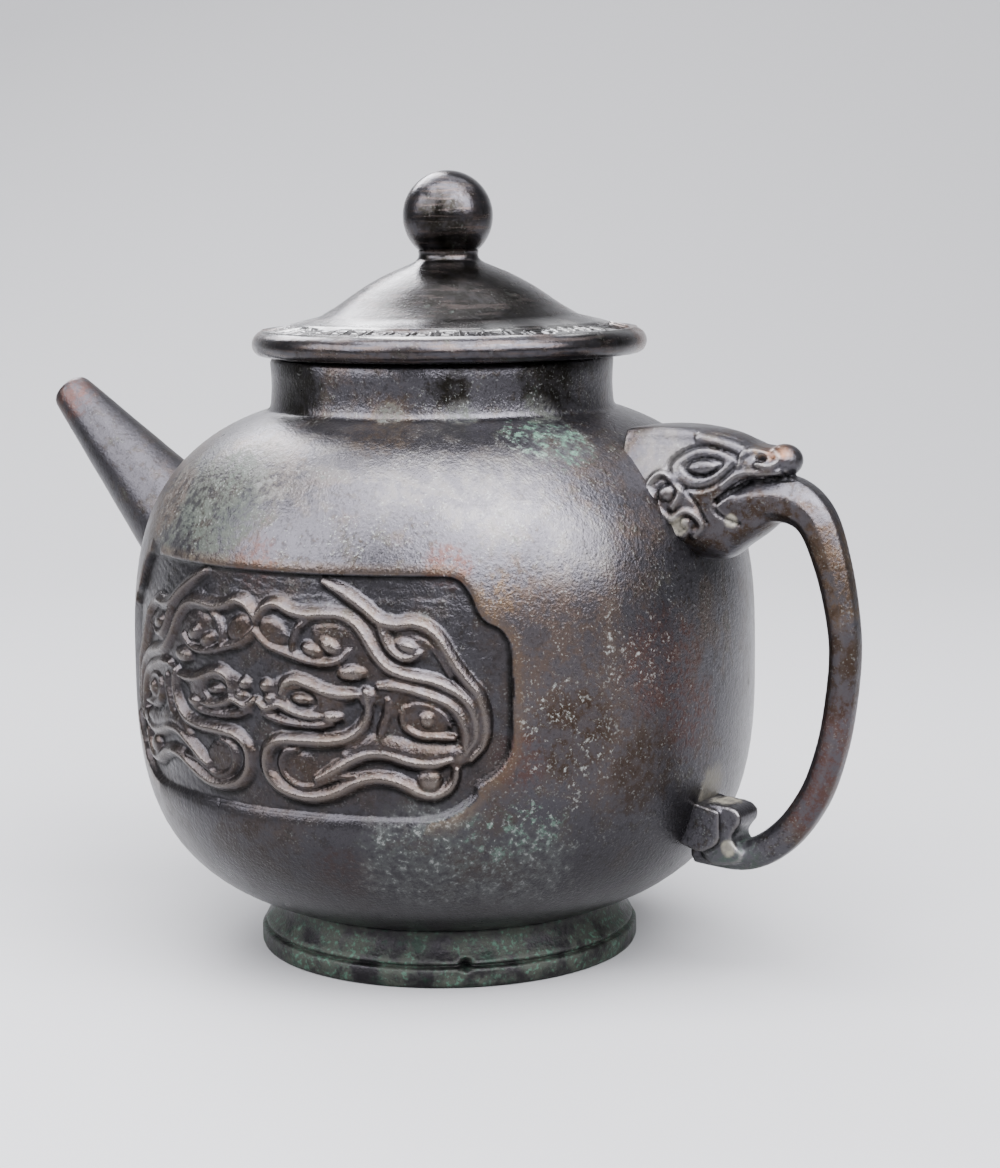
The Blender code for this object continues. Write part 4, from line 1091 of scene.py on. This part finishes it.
# An arch of soft boxes over the object: name, angle over the horizon seen from the front, turn to the
# right, width and length, power
lights = [
    ("softFront", 38, 28, 1.15, 0.60, 44.0),
    ("softLeft", 30, -62, 0.80, 0.50, 19.0),
    ("softTop", 73, 0, 1.15, 0.70, 48.0),
    ("softBack", 137, 26, 0.42, 0.42, 11.0),
]
lightTint = (0.94, 0.94, 1.0)
wallWash = dict(place=(0.0, 0.35, 0.95), aim=(0.0, 0.95, 0.1), width=1.6, length=0.4, power=10.0)
stage = dict(width=6.0, front=2.5, bendStart=0.45, bend=0.75, top=2.6, steps=24, archReach=0.86, roomLight=0.27, paper=0.23)


def makeCamera():
    deselectAll()
    bpy.ops.object.camera_add()
    eye = named("photoCamera")
    turned = Matrix.Rotation(math.radians(camera["turn"]), 4, "Z")
    spot = Matrix.Translation((camera["across"] * mm, -camera["back"] * mm, camera["height"] * mm))
    tilt = Matrix.Rotation(math.radians(90 - camera["dip"]), 4, "X")
    roll = Matrix.Rotation(math.radians(camera["roll"]), 4, "Z")
    eye.matrix_world = Matrix.Translation((axisX, 0, 0)) @ turned @ spot @ tilt @ roll
    eye.data.lens = camera["lens"]
    eye.data.sensor_width = 36
    bpy.context.scene.camera = eye
    return turned


def addLamp(name, place, target, width, length, power):
    bpy.ops.object.light_add(type="AREA")
    lamp = named(name)
    lamp.data.shape = "RECTANGLE"
    lamp.data.size = width
    lamp.data.size_y = length
    lamp.data.energy = power
    lamp.data.color = lightTint
    aim = (target - place).to_track_quat("-Z", "Y").to_matrix().to_4x4()
    lamp.matrix_world = Matrix.Translation(place) @ aim


def makeStage(turned):
    deselectAll()
    # a sheet of paper that runs back along the floor and bends up into the backdrop
    bend, start = stage["bend"], stage["bendStart"]
    outline = [(-stage["front"], 0.0)]
    for i in range(stage["steps"] + 1):
        angle = 0.5 * math.pi * i / stage["steps"]
        outline.append((start + bend * math.sin(angle), bend * (1 - math.cos(angle))))
    outline.append((start + bend, stage["top"]))
    bpy.ops.mesh.primitive_grid_add(x_subdivisions=1, y_subdivisions=len(outline) - 1, size=2.0)
    floor = named("paleFloor")
    bm = editPiece(floor)
    for vert in bm.verts:
        back, up = outline[round((vert.co.y + 1) / 2 * (len(outline) - 1))]
        vert.co = turned @ Vector((0.5 * stage["width"] * vert.co.x, back, up))
    bmesh.update_edit_mesh(floor.data)
    bpy.ops.object.mode_set(mode="OBJECT")
    smoothed(floor, 30)
    board = Board("palePaper")
    board.shader.inputs["Base Color"].default_value = colour(stage["paper"], stage["paper"], stage["paper"])
    board.shader.inputs["Roughness"].default_value = 0.8
    floor.data.materials.append(board.material)
    middle = Vector((axisX, 0.0, 0.06))
    for name, rise, turn, width, length, power in lights:
        arch = turned @ Matrix.Rotation(math.radians(turn), 4, "Z")
        angle = math.radians(rise)
        away = Vector((0, -math.cos(angle), math.sin(angle))) * stage["archReach"]
        addLamp(name, middle + arch @ away, middle, width, length, power)
    addLamp("wallWash", turned @ Vector(wallWash["place"]), turned @ Vector(wallWash["aim"]),
            wallWash["width"], wallWash["length"], wallWash["power"])
    world = bpy.data.worlds.new("softRoom")
    bpy.context.scene.world = world
    world.use_nodes = True
    back = world.node_tree.nodes["Background"]
    back.inputs["Color"].default_value = colour(1.0, 1.0, 1.0)
    back.inputs["Strength"].default_value = stage["roomLight"]


body = makeBody()
dress(body, "body", bronzeFinish("bowlBronze", bowlSpots, 0.31, 0.7, 0.25, footTop=8.6, dustAndGlints=0.45, masks=[
    # the ground mask paints shade on the panel's sunk ground
    ("ground", "grimeAndShade", 0.6, 0.0), ("flank", "umber", 0.5, -0.04), ("crest", "ochre", 0.5, -0.05),
    ("crest", "worn", 0.4, -0.1),
    # the shade mask paints shadow inside the panel's upper edge and below the strokes
    ("panelRim", "ochre", 0.45, 0.0), ("shade", "sootAndShade", 0.9, 0.15),
]))
print("bowl made", len(body.data.polygons))

spoutPiece = makeSpout()
spoutSpots = dict(red=[(-84, -3, 97, 9)])
dress(spoutPiece, "spout", bronzeFinish("spoutBronze", spoutSpots, 0.38, 0.5, 0.2, depth=0.4))
print("spout made", len(spoutPiece.data.polygons))

handlePiece = makeHandle()
handleSpots = dict(
    cream=[(57.2, -7.6, 79.4, 2.2), (65.8, -5.0, 80.4, 1.5), (61.5, 0.5, 34.0, 4.6), (64.6, -3.6, 24.6, 1.8)],
    rust=[(73.0, -2.6, 92.6, 3.2)],
    umber=[(65.0, -7.0, 80.0, 6), (61.0, -8.0, 77.0, 7), (71.0, -4.5, 80.5, 6), (77.5, -4.0, 79.0, 7),
           (81.0, -3.0, 70.0, 7), (62.5, -7.0, 84.5, 3), (57.0, -7.0, 77.0, 6), (84.0, -3.0, 56.0, 9)],
    worn=[(54.0, -7.0, 91.5, 6), (50.5, -8.0, 87.0, 4)],
    red=[(84.5, -2.0, 42.0, 13), (81.0, -2.0, 33.0, 8)],
    ochre=[(83.0, -3.0, 72.0, 10), (71.5, -2.0, 93.0, 4)],
    green=[(66.0, 0, 22.0, 7)],
)
dress(handlePiece, "handle", bronzeFinish(
    "handleBronze", handleSpots, 0.34, 0.5, 0.1, dustAndGlints=0.3,
    # the crease mask paints shade into the head's creases
    masks=[("edge", "worn", 0.7, -0.05), ("crease", "sootAndShade", 0.85, 0.2)],
))
print("handle made", len(handlePiece.data.polygons))

lidPiece = makeLid()
lidSpots = dict(
    rust=[(-22.5, -21.0, 109.5, 8), (36.5, 15.0, 109.5, 9), (21.0, 10.5, 116, 7)],
    dull=[(14.0, -12.0, 118, 17), (24.0, -8.0, 116, 17), (30.0, 0.0, 114, 16), (20.0, 4.0, 120, 12),
          (9.0, -3.0, 128, 5), (3.0, -22.0, 113, 9), (8.5, -5.5, 131, 5)],
)
dress(lidPiece, "lid", bronzeFinish(
    # the fret mask paints shade into the fret's sunk ground
    "lidBronze", lidSpots, 0.24, 0.3, 0.15, depth=0.35, masks=[("fret", "sootAndShade", 0.9, 0.15), ("fretTop", "bright", 0.7, -0.03)],
    streaks=0.25,
))
print("lid made", len(lidPiece.data.polygons))

makeStage(makeCamera())
print("scene ready")
